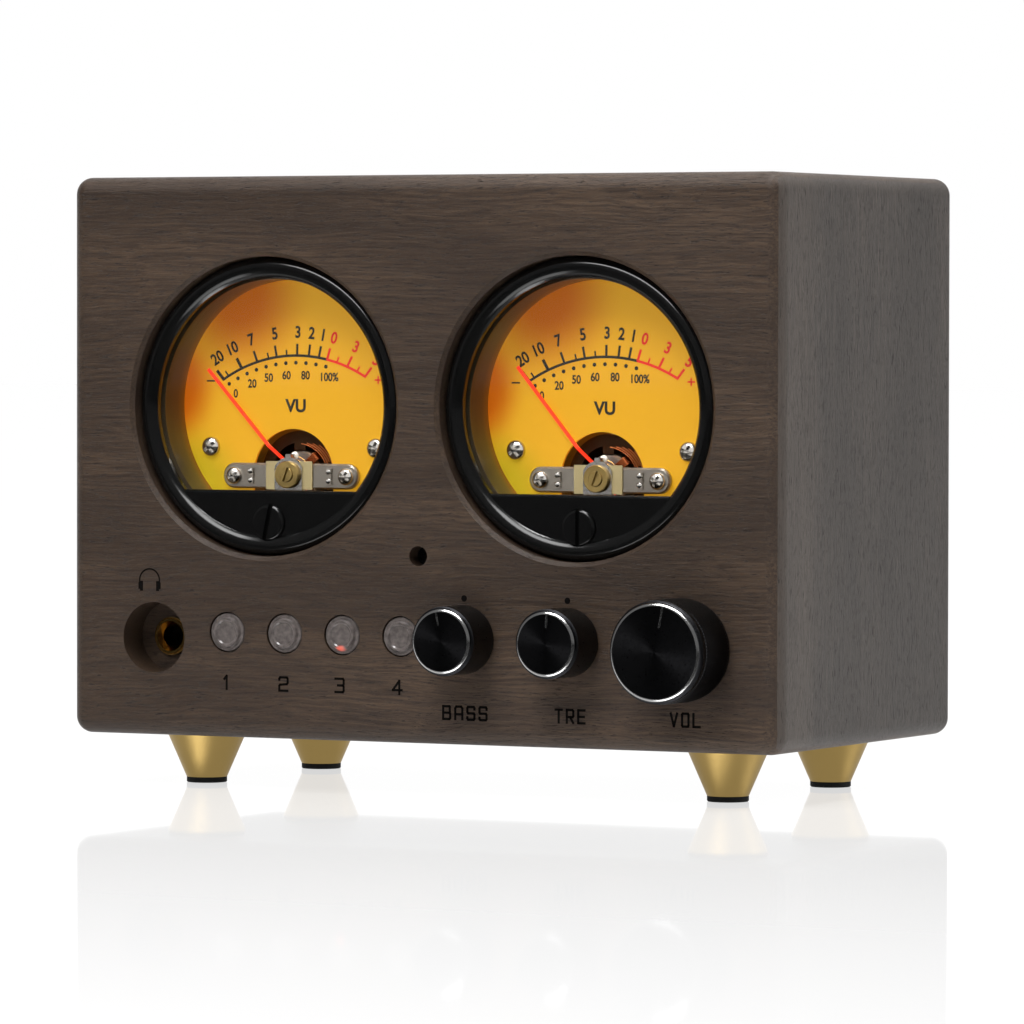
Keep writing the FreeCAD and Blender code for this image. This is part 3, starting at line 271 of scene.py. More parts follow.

# %% [markdown]
# The meter housing is dark moulding too, olive brown. The amber light that the lit dial
# throws on it is painted in: the wall turns to a painted orange glow near the plate.

# %% The meter housing's wall, with the dial's glow painted on
housing_wall, tree, surface = start_material("abs_housing_brown_painted_glow", "#4B3A20", 0.3, IOR=1.52)
place = millimetres(tree)
level = add(tree, "SeparateXYZ", links={"Vector": place}).outputs["Y"]
# Painted glow: the wall is painted lighter and more orange towards the dial plate, and a faint
# emission is added, standing for the dial's light on it.
dial_glow_painted = add(tree, "MapRange", {"From Min": 6.0 - DEPTH_MIDDLE,
                                   "From Max": 10.4 - DEPTH_MIDDLE}, {"Value": level})
wall = ramp(tree, dial_glow_painted.outputs[0], [(0.0, "#2E271B"), (0.55, "#4A3A20"),
                                         (1.0, "#7A5218")])
tree.links.new(wall, surface.inputs["Base Color"])
tree.links.new(wall, surface.inputs["Emission Color"])
surface.inputs["Emission Strength"].default_value = 0.13
print("housing wall ready")

# %% [markdown]
# ## Metals
#
# Turned and brushed metal has fine grooves, and they stretch every highlight across
# themselves. Cycles has a setting for that, anisotropy, with a tangent that says which way
# the grooves run. On a knob's face they run round the middle, so the tangent is radial.
# Plated parts, such as the bridge and the screws, are smooth and only slightly uneven.

# %% Metal finishes
def metal(name, colour, roughness, grain_mm=0.4, depth_mm=0.003, turned=None,
          anisotropy=0.0):
    """A bare or plated metal. Turned metal has grooves round the axis named."""
    material, tree, surface = start_material(name, colour, roughness, 1.0)
    surface.inputs["Anisotropic"].default_value = anisotropy
    place = millimetres(tree)
    grain = add(tree, "TexNoise", {"Scale": 1.0 / grain_mm, "Detail": 3.0},
                {"Vector": place})
    wear = add(tree, "MapRange", {"To Min": roughness * 0.7, "To Max": roughness * 1.35},
               {"Value": grain.outputs["Fac"]})
    tree.links.new(wear.outputs[0], surface.inputs["Roughness"])
    bump(tree, surface, grain.outputs["Fac"], depth_mm)
    if turned:
        groove = add(tree, "Tangent", {"direction_type": "RADIAL", "axis": turned})
        tree.links.new(groove.outputs[0], surface.inputs["Tangent"])
    return material


nickel = metal("nickel_plate_satin", "#A39B90", 0.34)
bright_nickel = metal("nickel_plate_bright", "#D2CEC8", 0.14)
soft_iron = metal("soft_iron_browned", "#3E2C1E", 0.45)
steel = metal("steel_turned", "#A6A6A6", 0.25)
gold = metal("gold_plate_polished", "#F0BE6A", 0.12)
bright_brass = metal("brass_turned_bright", "#A88F58", 0.34, turned="Y", anisotropy=0.4)
feet_brass = metal("brass_turned_satin", "#A78D55", 0.34, turned="Z", anisotropy=0.7)
bronze_wire = metal("phosphor_bronze_wire", "#D9AF68", 0.25)
copper_wire = metal("copper_wire_enamelled", "#B5683C", 0.3)
bright_cut = metal("aluminium_diamond_cut", "#DADADA", 0.14, turned="Y", anisotropy=0.4)
knob_black = metal("aluminium_anodised_black", "#2B2B2D", 0.3, turned="Y",
                   anisotropy=0.85)
knurl_black = metal("aluminium_knurled_black", "#242426", 0.34)
panel_black = metal("aluminium_sheet_anodised", "#26262A", 0.42, grain_mm=0.25)
print("metal finishes ready")

# %% [markdown]
# ## The lit dial
#
# The dial is a thin translucent plate, printed in amber and lit from behind by two small
# lamps. Their light through the plate is painted in as the plate's own glow, and unevenly:
# deep orange at the upper left, a painted shade from the bezel, more orange at the left edge,
# and slightly green near the bottom left. Each of those is a painted soft spot, made from the
# distance to a point. The cut edges get a painted brighter orange, and the plate also
# reflects light.

# %% Amber dial plate
dial_amber, tree, surface = start_material("polystyrene_amber_backlit", "#FDBB2A", 0.45,
                                           IOR=1.55)
place = millimetres(tree)
parts = add(tree, "SeparateXYZ", links={"Vector": place})
side = add(tree, "Math", {"operation": "SIGN"}, {0: parts.outputs["X"]})
across = add(tree, "Math", {"operation": "MULTIPLY_ADD", 1: -METERS["right"]},
             {0: side.outputs[0], 2: parts.outputs["X"]})
height = add(tree, "Math", {"operation": "SUBTRACT", 1: METER_LEVEL + CASE_LOW},
             {0: parts.outputs["Z"]})
on_dial = add(tree, "CombineXYZ", links={"X": across.outputs[0], "Y": height.outputs[0]})


def painted_light_spot(tree, source, u, v, inner, outer, strength):
    """1 inside a radius round a point of the dial, fading to 0 outside."""
    far = add(tree, "VectorMath", {"operation": "DISTANCE", 1: (u, v, 0.0)}, {0: source})
    return add(tree, "MapRange", {"interpolation_type": "SMOOTHSTEP", "From Min": outer,
                                  "From Max": inner, "To Max": strength},
               {"Value": far.outputs["Value"]}).outputs[0]


amber = add(tree, "RGB")
amber.outputs[0].default_value = linear("#FBB928")
# Painted light and shade: soft spots of deeper orange, orange and green over the amber.
glow = over(tree, painted_light_spot(tree, on_dial.outputs[0], -10.0, 17.5, 3.0, 14.5, 0.95),
            amber.outputs[0], "#D26A0B")
glow = over(tree, painted_light_spot(tree, on_dial.outputs[0], -24.0, 3.0, 5.0, 11.0, 0.9),
            glow, "#E5690A")
glow = over(tree, painted_light_spot(tree, on_dial.outputs[0], -19.0, -14.0, 4.0, 12.0, 0.75),
            glow, "#C4B41C")
# Painted glow: the plate's cut edges, which face sideways, are painted a brighter orange.
facing = add(tree, "SeparateXYZ", links={"Vector": add(
    tree, "NewGeometry").outputs["Normal"]})
flat = add(tree, "Math", {"operation": "ABSOLUTE"}, {0: facing.outputs["Y"]})
painted_edge_glow = add(tree, "MapRange", {"From Min": 0.8, "From Max": 0.4},
               {"Value": flat.outputs[0]})
glow = over(tree, painted_edge_glow.outputs[0], glow, "#FF9A1E")
# The plate lets most light through, so it returns only part of what falls on it. Its
# emission is painted light, standing for the lamps' light coming through the plate.
returned = add(tree, "VectorMath", {"operation": "SCALE", "Scale": 0.36}, {0: glow})
tree.links.new(returned.outputs[0], surface.inputs["Base Color"])
tree.links.new(glow, surface.inputs["Emission Color"])
surface.inputs["Emission Strength"].default_value = 0.43
surface.inputs["Specular IOR Level"].default_value = 0.15
print("amber dial ready")

# %% [markdown]
# ## Clear window, clear buttons and the needle
#
# The window is a real plate a millimetre thick. Glass in front of small metal parts keeps
# lamp light off them in a renderer, because light bends through it in ways that are hard to
# find. Letting shadow rays pass straight through keeps the movement behind it lit.

# %% See-through and glowing finishes
# Real polystyrene has an IOR of 1.59. A lower one keeps reflections off the dial.
window, tree, surface = start_material("polystyrene_clear_window", "#FFFFFF", 0.02,
                                       Transmission_Weight=1.0, IOR=1.2)
clear = add(tree, "BsdfTransparent")
light_path = add(tree, "LightPath")
passing = add(tree, "MixShader", links={0: light_path.outputs["Is Shadow Ray"],
                                        1: surface.outputs[0], 2: clear.outputs[0]})
tree.links.new(passing.outputs[0], tree.nodes["Material Output"].inputs["Surface"])

# The needle's enamel is given a painted glow of its own.
needle_red = moulded("enamel_red_orange", "#F03A12", 0.4, 0.3, 0.001,
                     Emission_Color=linear("#FF1C08"), Emission_Strength=0.45)
lamp_glow = moulded("lamp_warm_white", "#FFE7B8", 0.4, 0.5, 0.002,
                    Emission_Color=linear("#FFC070"), Emission_Strength=6.0)
glue = moulded("shellac_glue_white", "#EDE7DA", 0.35, 0.4, 0.01)

BUTTON_LEVEL = 16.96
LAMP_DROP = 2.1
BUTTONS = [-34.27 + 10.5 * i for i in range(4)]


def frosted_button(name, lit):
    """Clear acrylic, frosted in the middle; on one of them the glow of the small lamp behind
    it is painted in.
    """
    material, tree, surface = start_material(name, "#5C5552", 0.3, IOR=1.49,
                                             Coat_Weight=0.5, Coat_Roughness=0.05)
    place = millimetres(tree)
    cloud = add(tree, "TexNoise", {"Scale": 1.2, "Detail": 2.0}, {"Vector": place})
    tint = ramp(tree, cloud.outputs["Fac"], [(0.3, "#4C4644"), (0.7, "#6C6461")])
    tree.links.new(tint, surface.inputs["Base Color"])
    if lit:
        # Painted light: a soft red spot low on the button, where the lamp behind it shines
        # through.
        spot = (BUTTONS[2] - 0.1, -DEPTH_MIDDLE, BUTTON_LEVEL + CASE_LOW - LAMP_DROP)
        away = add(tree, "VectorMath", {"operation": "SUBTRACT", 1: spot}, {0: place})
        oval = stretched(tree, away.outputs[0], (1.0, 0.6, 1.9))
        lamp = add(tree, "VectorMath", {"operation": "LENGTH"}, {0: oval})
        painted_lamp_glow = add(tree, "MapRange", {"interpolation_type": "SMOOTHSTEP",
                                       "From Min": 1.15, "From Max": 0.35},
                    {"Value": lamp.outputs["Value"]})
        dark = add(tree, "RGB")
        dark.outputs[0].default_value = (0.0, 0.0, 0.0, 1.0)
        tree.links.new(over(tree, painted_lamp_glow.outputs[0], dark.outputs[0], "#E8553A"),
                       surface.inputs["Emission Color"])
        surface.inputs["Emission Strength"].default_value = 0.9
    return material


clear_button = frosted_button("acrylic_frosted", lit=False)
lit_button = frosted_button("acrylic_frosted_painted_glow", lit=True)
print("window, needle, lamps and buttons ready")

# %% [markdown]
# ## Which finish goes on which solid
#
# A list from finish to pieces is quicker to read than sixty separate lines, and printing what
# is left over catches a piece that was forgotten.

# %% Dress the solids
def both(name):
    return [f"{name}_left", f"{name}_right"]


FINISHES = [
    (panel_black, ["rear_panel"]),
    (black_paint, ["rear_panel_screws"]),
    (matt_abs, ["power_inlet", "jack_body", "button_switches"]),
    (solder_mask, ["main_board", "control_board"]),
    (feet_brass, ["foot_front_left", "foot_front_right", "foot_rear_left",
                  "foot_rear_right"]),
    (rubber, ["foot_pads"]),
    (steel, ["foot_screws", "bass_shaft", "treble_shaft", "volume_shaft"]),
    (polished_abs, both("meter_bezel") + both("meter_zero_screw") + ["infrared_receiver"]),
    (window, both("meter_lens")),
    (housing_wall, both("meter_housing")),
    (dial_amber, both("meter_dial")),
    (nickel, both("meter_bridge") + ["core_magnets", "potentiometers"]),
    (bright_nickel, both("meter_zero_lever") + ["bridge_screws", "dial_screws",
                                                "phono_sockets"]),
    (copper_wire, both("meter_coil")),
    (needle_red, both("meter_needle")),
    (bronze_wire, both("meter_hairspring")),
    (laminate, ["bridge_insulators"]),
    (bright_brass, ["jewel_nuts", "jewel_screws"]),
    (soft_iron, ["meter_yokes"]),
    (lamp_glow, ["meter_lamps"]),
    (gold, ["jack_barrel"]),
    (clear_button, ["source_button_1", "source_button_2", "source_button_4"]),
    (lit_button, ["source_button_3"]),
    (knob_black, ["bass_knob", "treble_knob", "volume_knob"]),
]
dressed = {"front_board", "top_board", "bottom_board", "left_board", "right_board"}
for finish, names in FINISHES:
    for name in names:
        NODES[name].data.materials.clear()
        NODES[name].data.materials.append(finish)
        dressed.add(name)
print("solids without a finish:", sorted(set(NODES) - dressed))

# %% [markdown]
# ## Making new pieces
#
# Three ways cover everything that is added. A flat print or inlay is a plate: an outline
# given a thickness. A round piece is turned: a profile swept round an axis. A wire is a
# curve with a round section. Each one ends as a plain mesh that rides on the body that
# carries it, so that it moves when a knob turns or a needle swings.

# %% Plates, turned pieces and wires
def finish_piece(name, shape, material, body, smooth=30.0):
    """Turns a bmesh into a piece with one material that moves with a body."""
    mesh = bpy.data.meshes.new(name)
    bmesh.ops.recalc_face_normals(shape, faces=shape.faces)
    shape.to_mesh(mesh)
    shape.free()
    for face in mesh.polygons:
        face.use_smooth = True
    mesh.set_sharp_from_angle(angle=math.radians(smooth))
    mesh.materials.append(material)
    piece = bpy.data.objects.new(name, mesh)
    bpy.context.scene.collection.objects.link(piece)
    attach(piece, body)
    return piece


def plate(shape, outline, near, far):
    """Adds a closed prism to a bmesh, from an outline of u and v between two depths."""
    front = [shape.verts.new(at(u, near, v)) for u, v in outline]
    back = [shape.verts.new(at(u, far, v)) for u, v in outline]
    shape.faces.new(front)
    shape.faces.new(back)
    for i in range(len(outline)):
        shape.faces.new((front[i - 1], front[i], back[i], back[i - 1]))


def bar(start, end, width, overrun=0.0):
    """The outline of a straight stroke between two points."""
    along = Vector((end[0] - start[0], end[1] - start[1]))
    length = along.length
    along.normalize()
    side = Vector((-along.y, along.x)) * width / 2
    first = Vector(start) - along * overrun
    last = Vector(start) + along * (length + overrun)
    return [tuple(p) for p in (first + side, last + side, last - side, first - side)]


def arc_band(centre, radius, width, start, end, steps=48):
    """The outline of a curved stroke, with its angles clockwise from straight up."""
    turns = [math.radians(start + (end - start) * i / steps) for i in range(steps + 1)]
    outer = [(centre[0] + (radius + width / 2) * math.sin(a),
              centre[1] + (radius + width / 2) * math.cos(a)) for a in turns]
    inner = [(centre[0] + (radius - width / 2) * math.sin(a),
              centre[1] + (radius - width / 2) * math.cos(a)) for a in reversed(turns)]
    return outer + inner


def disc(centre, radius, steps=24):
    """The outline of a dot."""
    return [(centre[0] + radius * math.cos(2 * math.pi * i / steps),
             centre[1] + radius * math.sin(2 * math.pi * i / steps)) for i in range(steps)]


def turned(shape, profile, u, v, steps=96):
    """Sweeps a closed profile of radius and depth round an axis that runs into the depth."""
    rings = []
    for radius, depth in profile:
        if radius < 1e-6:
            rings.append([shape.verts.new(at(u, depth, v))] * steps)
            continue
        rings.append([shape.verts.new(at(u + radius * math.cos(2 * math.pi * i / steps),
                                         depth,
                                         v + radius * math.sin(2 * math.pi * i / steps)))
                      for i in range(steps)])
    for k in range(len(rings)):
        here, there = rings[k], rings[(k + 1) % len(rings)]
        for i in range(steps):
            corners = [here[i - 1], here[i], there[i], there[i - 1]]
            unique = list(dict.fromkeys(corners))
            if len(unique) > 2:
                shape.faces.new(unique)


def wire(name, runs, radius, material, body, closed=False):
    """Round wire through points of u, depth and v, one run for each list."""
    curve = bpy.data.curves.new(name, "CURVE")
    curve.dimensions = "3D"
    curve.bevel_depth = radius * MM
    curve.bevel_resolution = 3
    for points in runs:
        spline = curve.splines.new("POLY")
        spline.points.add(len(points) - 1)
        spline.use_cyclic_u = closed
        for spot, point in zip(spline.points, points):
            spot.co = (*at(*point), 1.0)
    made = bpy.data.objects.new(name, curve)
    bpy.context.scene.collection.objects.link(made)
    mesh = bpy.data.meshes.new_from_object(made.evaluated_get(
        bpy.context.evaluated_depsgraph_get()))
    bpy.data.objects.remove(made)
    shape = bmesh.new()
    shape.from_mesh(mesh)
    bpy.data.meshes.remove(mesh)
    return finish_piece(name, shape, material, body)


print("piece makers ready")

# %% [markdown]
# ## Printed words
#
# Blender's own font is a plain sans serif, close to what instrument makers print. A text
# object becomes a mesh, and its own box gives its size, so each word can be scaled to a
# height measured on the dial and centred on its place, whatever the font's own spacing is.

# %% Words as thin films of ink
def add_word(shape, text, u, v, height, turn=0.0, stretch=1.0, near=0.0, thick=0.02,
             mirrored=False, bold=0.028):
    """Adds a word to a bmesh, centred at u, v, with capitals of a given height."""
    curve = bpy.data.curves.new("word", "FONT")
    curve.body = text
    curve.extrude = 0.5
    curve.offset = bold
    curve.resolution_u = 6
    made = bpy.data.objects.new("word", curve)
    bpy.context.scene.collection.objects.link(made)
    mesh = bpy.data.meshes.new_from_object(made.evaluated_get(
        bpy.context.evaluated_depsgraph_get()))
    bpy.data.objects.remove(made)
    low = Vector([min(p.co[i] for p in mesh.vertices) for i in range(2)])
    high = Vector([max(p.co[i] for p in mesh.vertices) for i in range(2)])
    scale = height / (high.y - low.y)
    middle = (low + high) / 2
    cosine, sine = math.cos(math.radians(turn)), math.sin(math.radians(turn))
    for point in mesh.vertices:
        x = (point.co.x - middle.x) * scale * stretch * (-1 if mirrored else 1)
        y = (point.co.y - middle.y) * scale
        depth = near if (point.co.z > 0) != mirrored else near + thick
        point.co = at(u + x * cosine - y * sine, depth, v + x * sine + y * cosine)
    shape.from_mesh(mesh)
    bpy.data.meshes.remove(mesh)


print("word maker ready")

# %% [markdown]
# ## The VU scale
#
# The scale's line is an arc that is flatter than the needle's own swing, but its ticks point
# at the needle's pivot, so each tick starts where a ray from the pivot meets the arc. The
# numbers stand just outside the ticks and lean less than the ticks do. Black runs up to the
# 0 mark and red goes on from there. The percentages under the arc sit between two rows of
# dots and are small.

# %% Scales of both meters
DIAL_FACE = 10.4
INK = 0.025
PRINT_SHIFT = 0.37
ARC_CENTRE = (0.2, -17.2)
ARC_RADIUS = 25.3
TICKS = [("20", -41.1, -37.7), ("10", -30.25, -29.7), ("7", -21.3, -20.6),
         ("5", -10.4, -9.65), ("3", 0.9, 1.1), ("2", 7.3, 7.5), ("1", 12.8, 12.8)]
RED_TICKS = [("0", 17.4, 17.85), ("3", 28.6, 28.3), ("5", 38.9, 38.8)]
SHORT_TICKS = [-38.1, -14.9, -4.8]
RED_SHORT_TICKS = [22.8, 34.1]
PERCENTS = [("0", -11.06, 1.94), ("20", -8.0, 3.56), ("50", -4.94, 4.53),
            ("60", -1.65, 4.94), ("80", 1.85, 4.94), ("100%", 6.29, 4.68)]


def reach_of_arc(angle):
    """How far from the pivot a ray at an angle meets the scale's arc."""
    ray = Vector((math.sin(math.radians(angle)), math.cos(math.radians(angle))))
    back = Vector((0.0, PIVOT_LEVEL - METER_LEVEL)) - Vector(ARC_CENTRE)
    half = ray.dot(back)
    return -half + math.sqrt(half * half - back.length_squared + ARC_RADIUS ** 2)


def from_pivot(angle, reach):
    """A point of the dial at an angle and a distance from the needle's pivot."""
    return (reach * math.sin(math.radians(angle)),
            PIVOT_LEVEL - METER_LEVEL + reach * math.cos(math.radians(angle)))


def arc_angle(angle):
    """The arc's own angle where a ray from the pivot meets it."""
    u, v = from_pivot(angle, reach_of_arc(angle))
    return math.degrees(math.atan2(u - ARC_CENTRE[0], v - ARC_CENTRE[1]))


def draw_scale(shape, middle, ticks, short_ticks, arc_from, arc_to, wide_first):
    """Ticks, numbers and the arc in one ink."""
    def moved(outline):
        return [(u + middle, v + METER_LEVEL) for u, v in outline]

    for number, (text, angle, number_angle) in enumerate(ticks):
        start = reach_of_arc(angle) - 0.1
        wide = 0.52 if wide_first and number < 2 else 0.4
        plate(shape, moved(bar(from_pivot(angle, start), from_pivot(angle, start + 2.0),
                               wide)), DIAL_FACE - INK, DIAL_FACE)
        lean = math.sin(math.radians(number_angle)) ** 2
        u, v = from_pivot(number_angle, 22.95 + 2.0 * lean)
        add_word(shape, text, u + middle, v + METER_LEVEL, 1.98, -0.84 * number_angle,
                 0.86, DIAL_FACE - INK, INK)
    for angle in short_ticks:
        start = reach_of_arc(angle) - 0.1
        plate(shape, moved(bar(from_pivot(angle, start), from_pivot(angle, start + 1.1),
                               0.28)), DIAL_FACE - INK, DIAL_FACE)
    plate(shape, moved(arc_band(ARC_CENTRE, ARC_RADIUS, 0.42, arc_angle(arc_from),
                                arc_angle(arc_to))), DIAL_FACE - INK * 0.8, DIAL_FACE)


for side, centre in METERS.items():
    middle = centre + PRINT_SHIFT
    black = bmesh.new()
    draw_scale(black, middle, TICKS, SHORT_TICKS, -41.6, 17.2, True)
    for i in range(11):
        turn = math.radians(-31.1 + 4.4 * i)
        dot = (ARC_CENTRE[0] + 24.15 * math.sin(turn) + middle,
               ARC_CENTRE[1] + 24.15 * math.cos(turn) + METER_LEVEL)
        plate(black, disc(dot, 0.32), DIAL_FACE - INK, DIAL_FACE)
    for text, u, v in PERCENTS:
        add_word(black, text, u + middle, v + METER_LEVEL, 1.42, 0.0, 0.85,
                 DIAL_FACE - INK, INK)
    add_word(black, "VU", middle, METER_LEVEL + 0.03, 2.15, 0.0, 1.0, DIAL_FACE - INK,
             INK, bold=0.034)
    plate(black, bar((middle - 16.45, METER_LEVEL + 3.94),
                     (middle - 14.95, METER_LEVEL + 3.94), 0.26), DIAL_FACE - INK, DIAL_FACE)
    finish_piece(f"scale_black_{side}", black, scale_black, "case")
    red = bmesh.new()
    draw_scale(red, middle, RED_TICKS, RED_SHORT_TICKS, 17.2, 39.4, False)
    plate(red, bar((middle + 14.5, METER_LEVEL + 4.24), (middle + 15.8, METER_LEVEL + 4.24),
                   0.26), DIAL_FACE - INK, DIAL_FACE)
    plate(red, bar((middle + 15.15, METER_LEVEL + 3.59),
                   (middle + 15.15, METER_LEVEL + 4.89), 0.26), DIAL_FACE - INK, DIAL_FACE)
    finish_piece(f"scale_red_{side}", red, scale_red, "case")
print("scales printed on both dials")

# %% [markdown]
# ## Engraved words on the wood
#
# The words under the buttons and knobs are cut by a machine with a small round tool and then
# filled with black, in a wide squared alphabet. That alphabet is drawn here as strokes on a
# unit square, because a stroke of constant width is just what such a tool leaves. The fill
# stands a hair above the wood so that it shows cleanly.

# %% A squared alphabet of strokes
STROKES = {
    "B": [[(0, 0), (0, 1), (0.88, 1), (0.94, 0.94), (0.94, 0.56), (0.88, 0.5), (0, 0.5)],
          [(0.88, 0.5), (1, 0.4), (1, 0.1), (0.9, 0), (0, 0)]],
    "A": [[(0, 0), (0, 0.85), (0.15, 1), (0.85, 1), (1, 0.85), (1, 0)],
          [(0, 0.4), (1, 0.4)]],
    "S": [[(1, 0.8), (1, 0.9), (0.9, 1), (0.1, 1), (0, 0.9), (0, 0.6), (0.1, 0.5),
           (0.9, 0.5), (1, 0.4), (1, 0.1), (0.9, 0), (0.1, 0), (0, 0.1), (0, 0.2)]],
    "T": [[(0, 1), (1, 1)], [(0.5, 1), (0.5, 0)]],
    "R": [[(0, 0), (0, 1), (0.88, 1), (1, 0.9), (1, 0.55), (0.9, 0.45), (0, 0.45)],
          [(0.5, 0.45), (1, 0)]],
    "E": [[(1, 1), (0, 1), (0, 0), (1, 0)], [(0, 0.5), (0.9, 0.5)]],
    "V": [[(0, 1), (0.5, 0), (1, 1)]],
    "O": [[(0.1, 0), (0, 0.1), (0, 0.9), (0.1, 1), (0.9, 1), (1, 0.9), (1, 0.1),
           (0.9, 0), (0.1, 0)]],
    "L": [[(0, 1), (0, 0), (1, 0)]],
    "1": [[(0.15, 0.75), (0.55, 1), (0.55, 0)]],
    "2": [[(0, 0.8), (0, 0.9), (0.1, 1), (0.9, 1), (1, 0.9), (1, 0.6), (0.9, 0.5),
           (0.1, 0.45), (0, 0.35), (0, 0), (1, 0)]],
    "3": [[(0, 1), (0.9, 1), (1, 0.9), (1, 0.6), (0.9, 0.5), (0.3, 0.5)],
          [(0.9, 0.5), (1, 0.4), (1, 0.1), (0.9, 0), (0, 0)]],
    "4": [[(0.72, 0), (0.72, 1), (0, 0.3), (1, 0.3)]],
}
FILL_FRONT, FILL_BACK = -0.02, 0.03


def engrave(shape, word, middle, level, wide, high, stroke=0.38):
    """Adds a word of strokes, centred, with a total width and a height."""
    letter = wide / (len(word) + 0.32 * (len(word) - 1))
    for number, sign in enumerate(word):
        left = middle - wide / 2 + letter * 1.32 * number + stroke / 2
        for run in STROKES[sign]:
            spots = [(left + x * (letter - stroke), level - high / 2 + stroke / 2 +
                      y * (high - stroke)) for x, y in run]
            for start, end in zip(spots, spots[1:]):
                plate(shape, bar(start, end, stroke, stroke * 0.4), FILL_FRONT, FILL_BACK)


words = bmesh.new()
for word, u, v, wide, high in (("1", -34.4, 8.9, 1.5, 2.5), ("2", -23.9, 8.9, 1.9, 2.5),
                               ("3", -13.7, 8.95, 1.9, 2.5), ("4", -3.25, 8.9, 2.0, 2.5),
                               ("BASS", 8.83, 5.17, 8.1, 2.4),
                               ("TRE", 27.4, 5.17, 5.5, 2.4),
                               ("VOL", 47.4, 5.17, 5.4, 2.4)):
    engrave(words, word, u, v, wide, high)
for u in (8.67, 26.9):
    plate(words, disc((u, 23.25), 0.5), FILL_FRONT, FILL_BACK)
plate(words, arc_band((-48.67, 25.0), 1.85, 0.26, -100.0, 100.0), FILL_FRONT, FILL_BACK)
for sign in (-1.0, 1.0):
    u = -48.67 + 1.5 * sign
    plate(words, bar((u, 23.3), (u, 24.9), 0.55), FILL_FRONT, FILL_BACK)
    plate(words, bar((u + 0.42 * sign, 23.6), (u + 0.42 * sign, 24.7), 0.3),
          FILL_FRONT, FILL_BACK)
finish_piece("front_engraving", words, engraved, "case")
print("words and signs engraved")

# %% [markdown]
# ## Knobs
#
# The knobs are turned from aluminium bar and anodised black. Then a diamond tool cuts the
# edge of the face, which bares bright metal, and a milled groove marks the position. The
# large knob is knurled: two crossed sets of rolled grooves leave rows of tiny pyramids. Real
# ones are about 0.35 mm apart, and they are drawn at 0.5 mm so that they show.

# %% Bright edges, pointers and the knurled grip
# Across, level, face, outer and inner radius of the bright edge, angle of the pointer.
KNOBS = {
    "bass": (8.7, 16.76, -8.0, 5.03, 4.65, -10.5),
    "treble": (27.05, 16.76, -8.1, 5.03, 4.65, 3.5),
    "volume": (47.2, 16.06, -10.6, 7.54, 7.17, 11.0),
}
for name, (u, v, face, bevel, inner, pointer) in KNOBS.items():
    slope = (bevel - inner) * 0.75
    edge = bmesh.new()
    turned(edge, [(inner, face + 0.005), (inner + 0.02, face), (bevel + 0.02, face + slope),
                  (bevel - 0.1, face + slope + 0.05)], u, v, 128)
    finish_piece(f"{name}_bright_edge", edge, bright_cut, f"{name}_control", 60.0)
    mark = bmesh.new()
    turn = math.radians(pointer)
    ends = [(u + reach * math.sin(turn), v + reach * math.cos(turn))
            for reach in (inner * 0.54, bevel - 0.35)]
    plate(mark, bar(ends[0], ends[1], 0.36), face + 0.06, face + 0.31)
    finish_piece(f"{name}_pointer", mark, bright_cut, f"{name}_control")

u, v, face = KNOBS["volume"][:3]
grip = bmesh.new()
AROUND, ROWS, PITCH = 200, 32, 0.25
grip_front = face + 1.75
rings = []
for row in range(ROWS + 1):
    depth = grip_front + PITCH * row
    edge_row = row in (0, ROWS)
    ring = []
    for i in range(AROUND):
        radius = 7.96 if edge_row else (8.1 if (row + i) % 2 else 7.99)
        turn = 2 * math.pi * i / AROUND
        ring.append(grip.verts.new(at(u + radius * math.cos(turn), depth,
                                      v + radius * math.sin(turn))))
    rings.append(ring)
for here, there in zip(rings, rings[1:]):
    for i in range(AROUND):
        grip.faces.new((here[i - 1], here[i], there[i], there[i - 1]))
inner_rings = [[grip.verts.new(at(u + 7.9 * math.cos(2 * math.pi * i / AROUND), depth,
                                  v + 7.9 * math.sin(2 * math.pi * i / AROUND)))
                for i in range(AROUND)]
               for depth in (grip_front + 0.05, grip_front + PITCH * ROWS - 0.05)]
for here, there in ((rings[0], inner_rings[0]), (inner_rings[0], inner_rings[1]),
                    (inner_rings[1], rings[-1])):
    for i in range(AROUND):
        grip.faces.new((here[i - 1], here[i], there[i], there[i - 1]))
finish_piece("volume_knurl", grip, knurl_black, "volume_control", 5.0)
print("knobs finished; knurl pyramids:", AROUND * (ROWS - 1) // 2)

# %% [markdown]
# ## Screws with cross recesses
#
# The small screws in the meters have domed heads with a cross recess. The head is turned from
# a profile, and the recess is cut with the Boolean modifier, as a punch presses it into the
# real head. The modifier is evaluated into a plain mesh at once, so that nothing is left to
# recompute later.

# %% Cut the recesses
def cut(shape, cutter):
    """One bmesh with another cut out of it."""
    objects = []
    for source in (shape, cutter):
        mesh = bpy.data.meshes.new("cutting")
        bmesh.ops.recalc_face_normals(source, faces=source.faces)
        source.to_mesh(mesh)
        source.free()
        made = bpy.data.objects.new("cutting", mesh)
        bpy.context.scene.collection.objects.link(made)
        objects.append(made)
    modifier = objects[0].modifiers.new("recess", "BOOLEAN")
    modifier.operation = "DIFFERENCE"
    modifier.solver = "EXACT"
    modifier.object = objects[1]
    result = bpy.data.meshes.new_from_object(objects[0].evaluated_get(
        bpy.context.evaluated_depsgraph_get()))
    for made in objects:
        bpy.data.objects.remove(made)
    cut_shape = bmesh.new()
    cut_shape.from_mesh(result)
    bpy.data.meshes.remove(result)
    return cut_shape


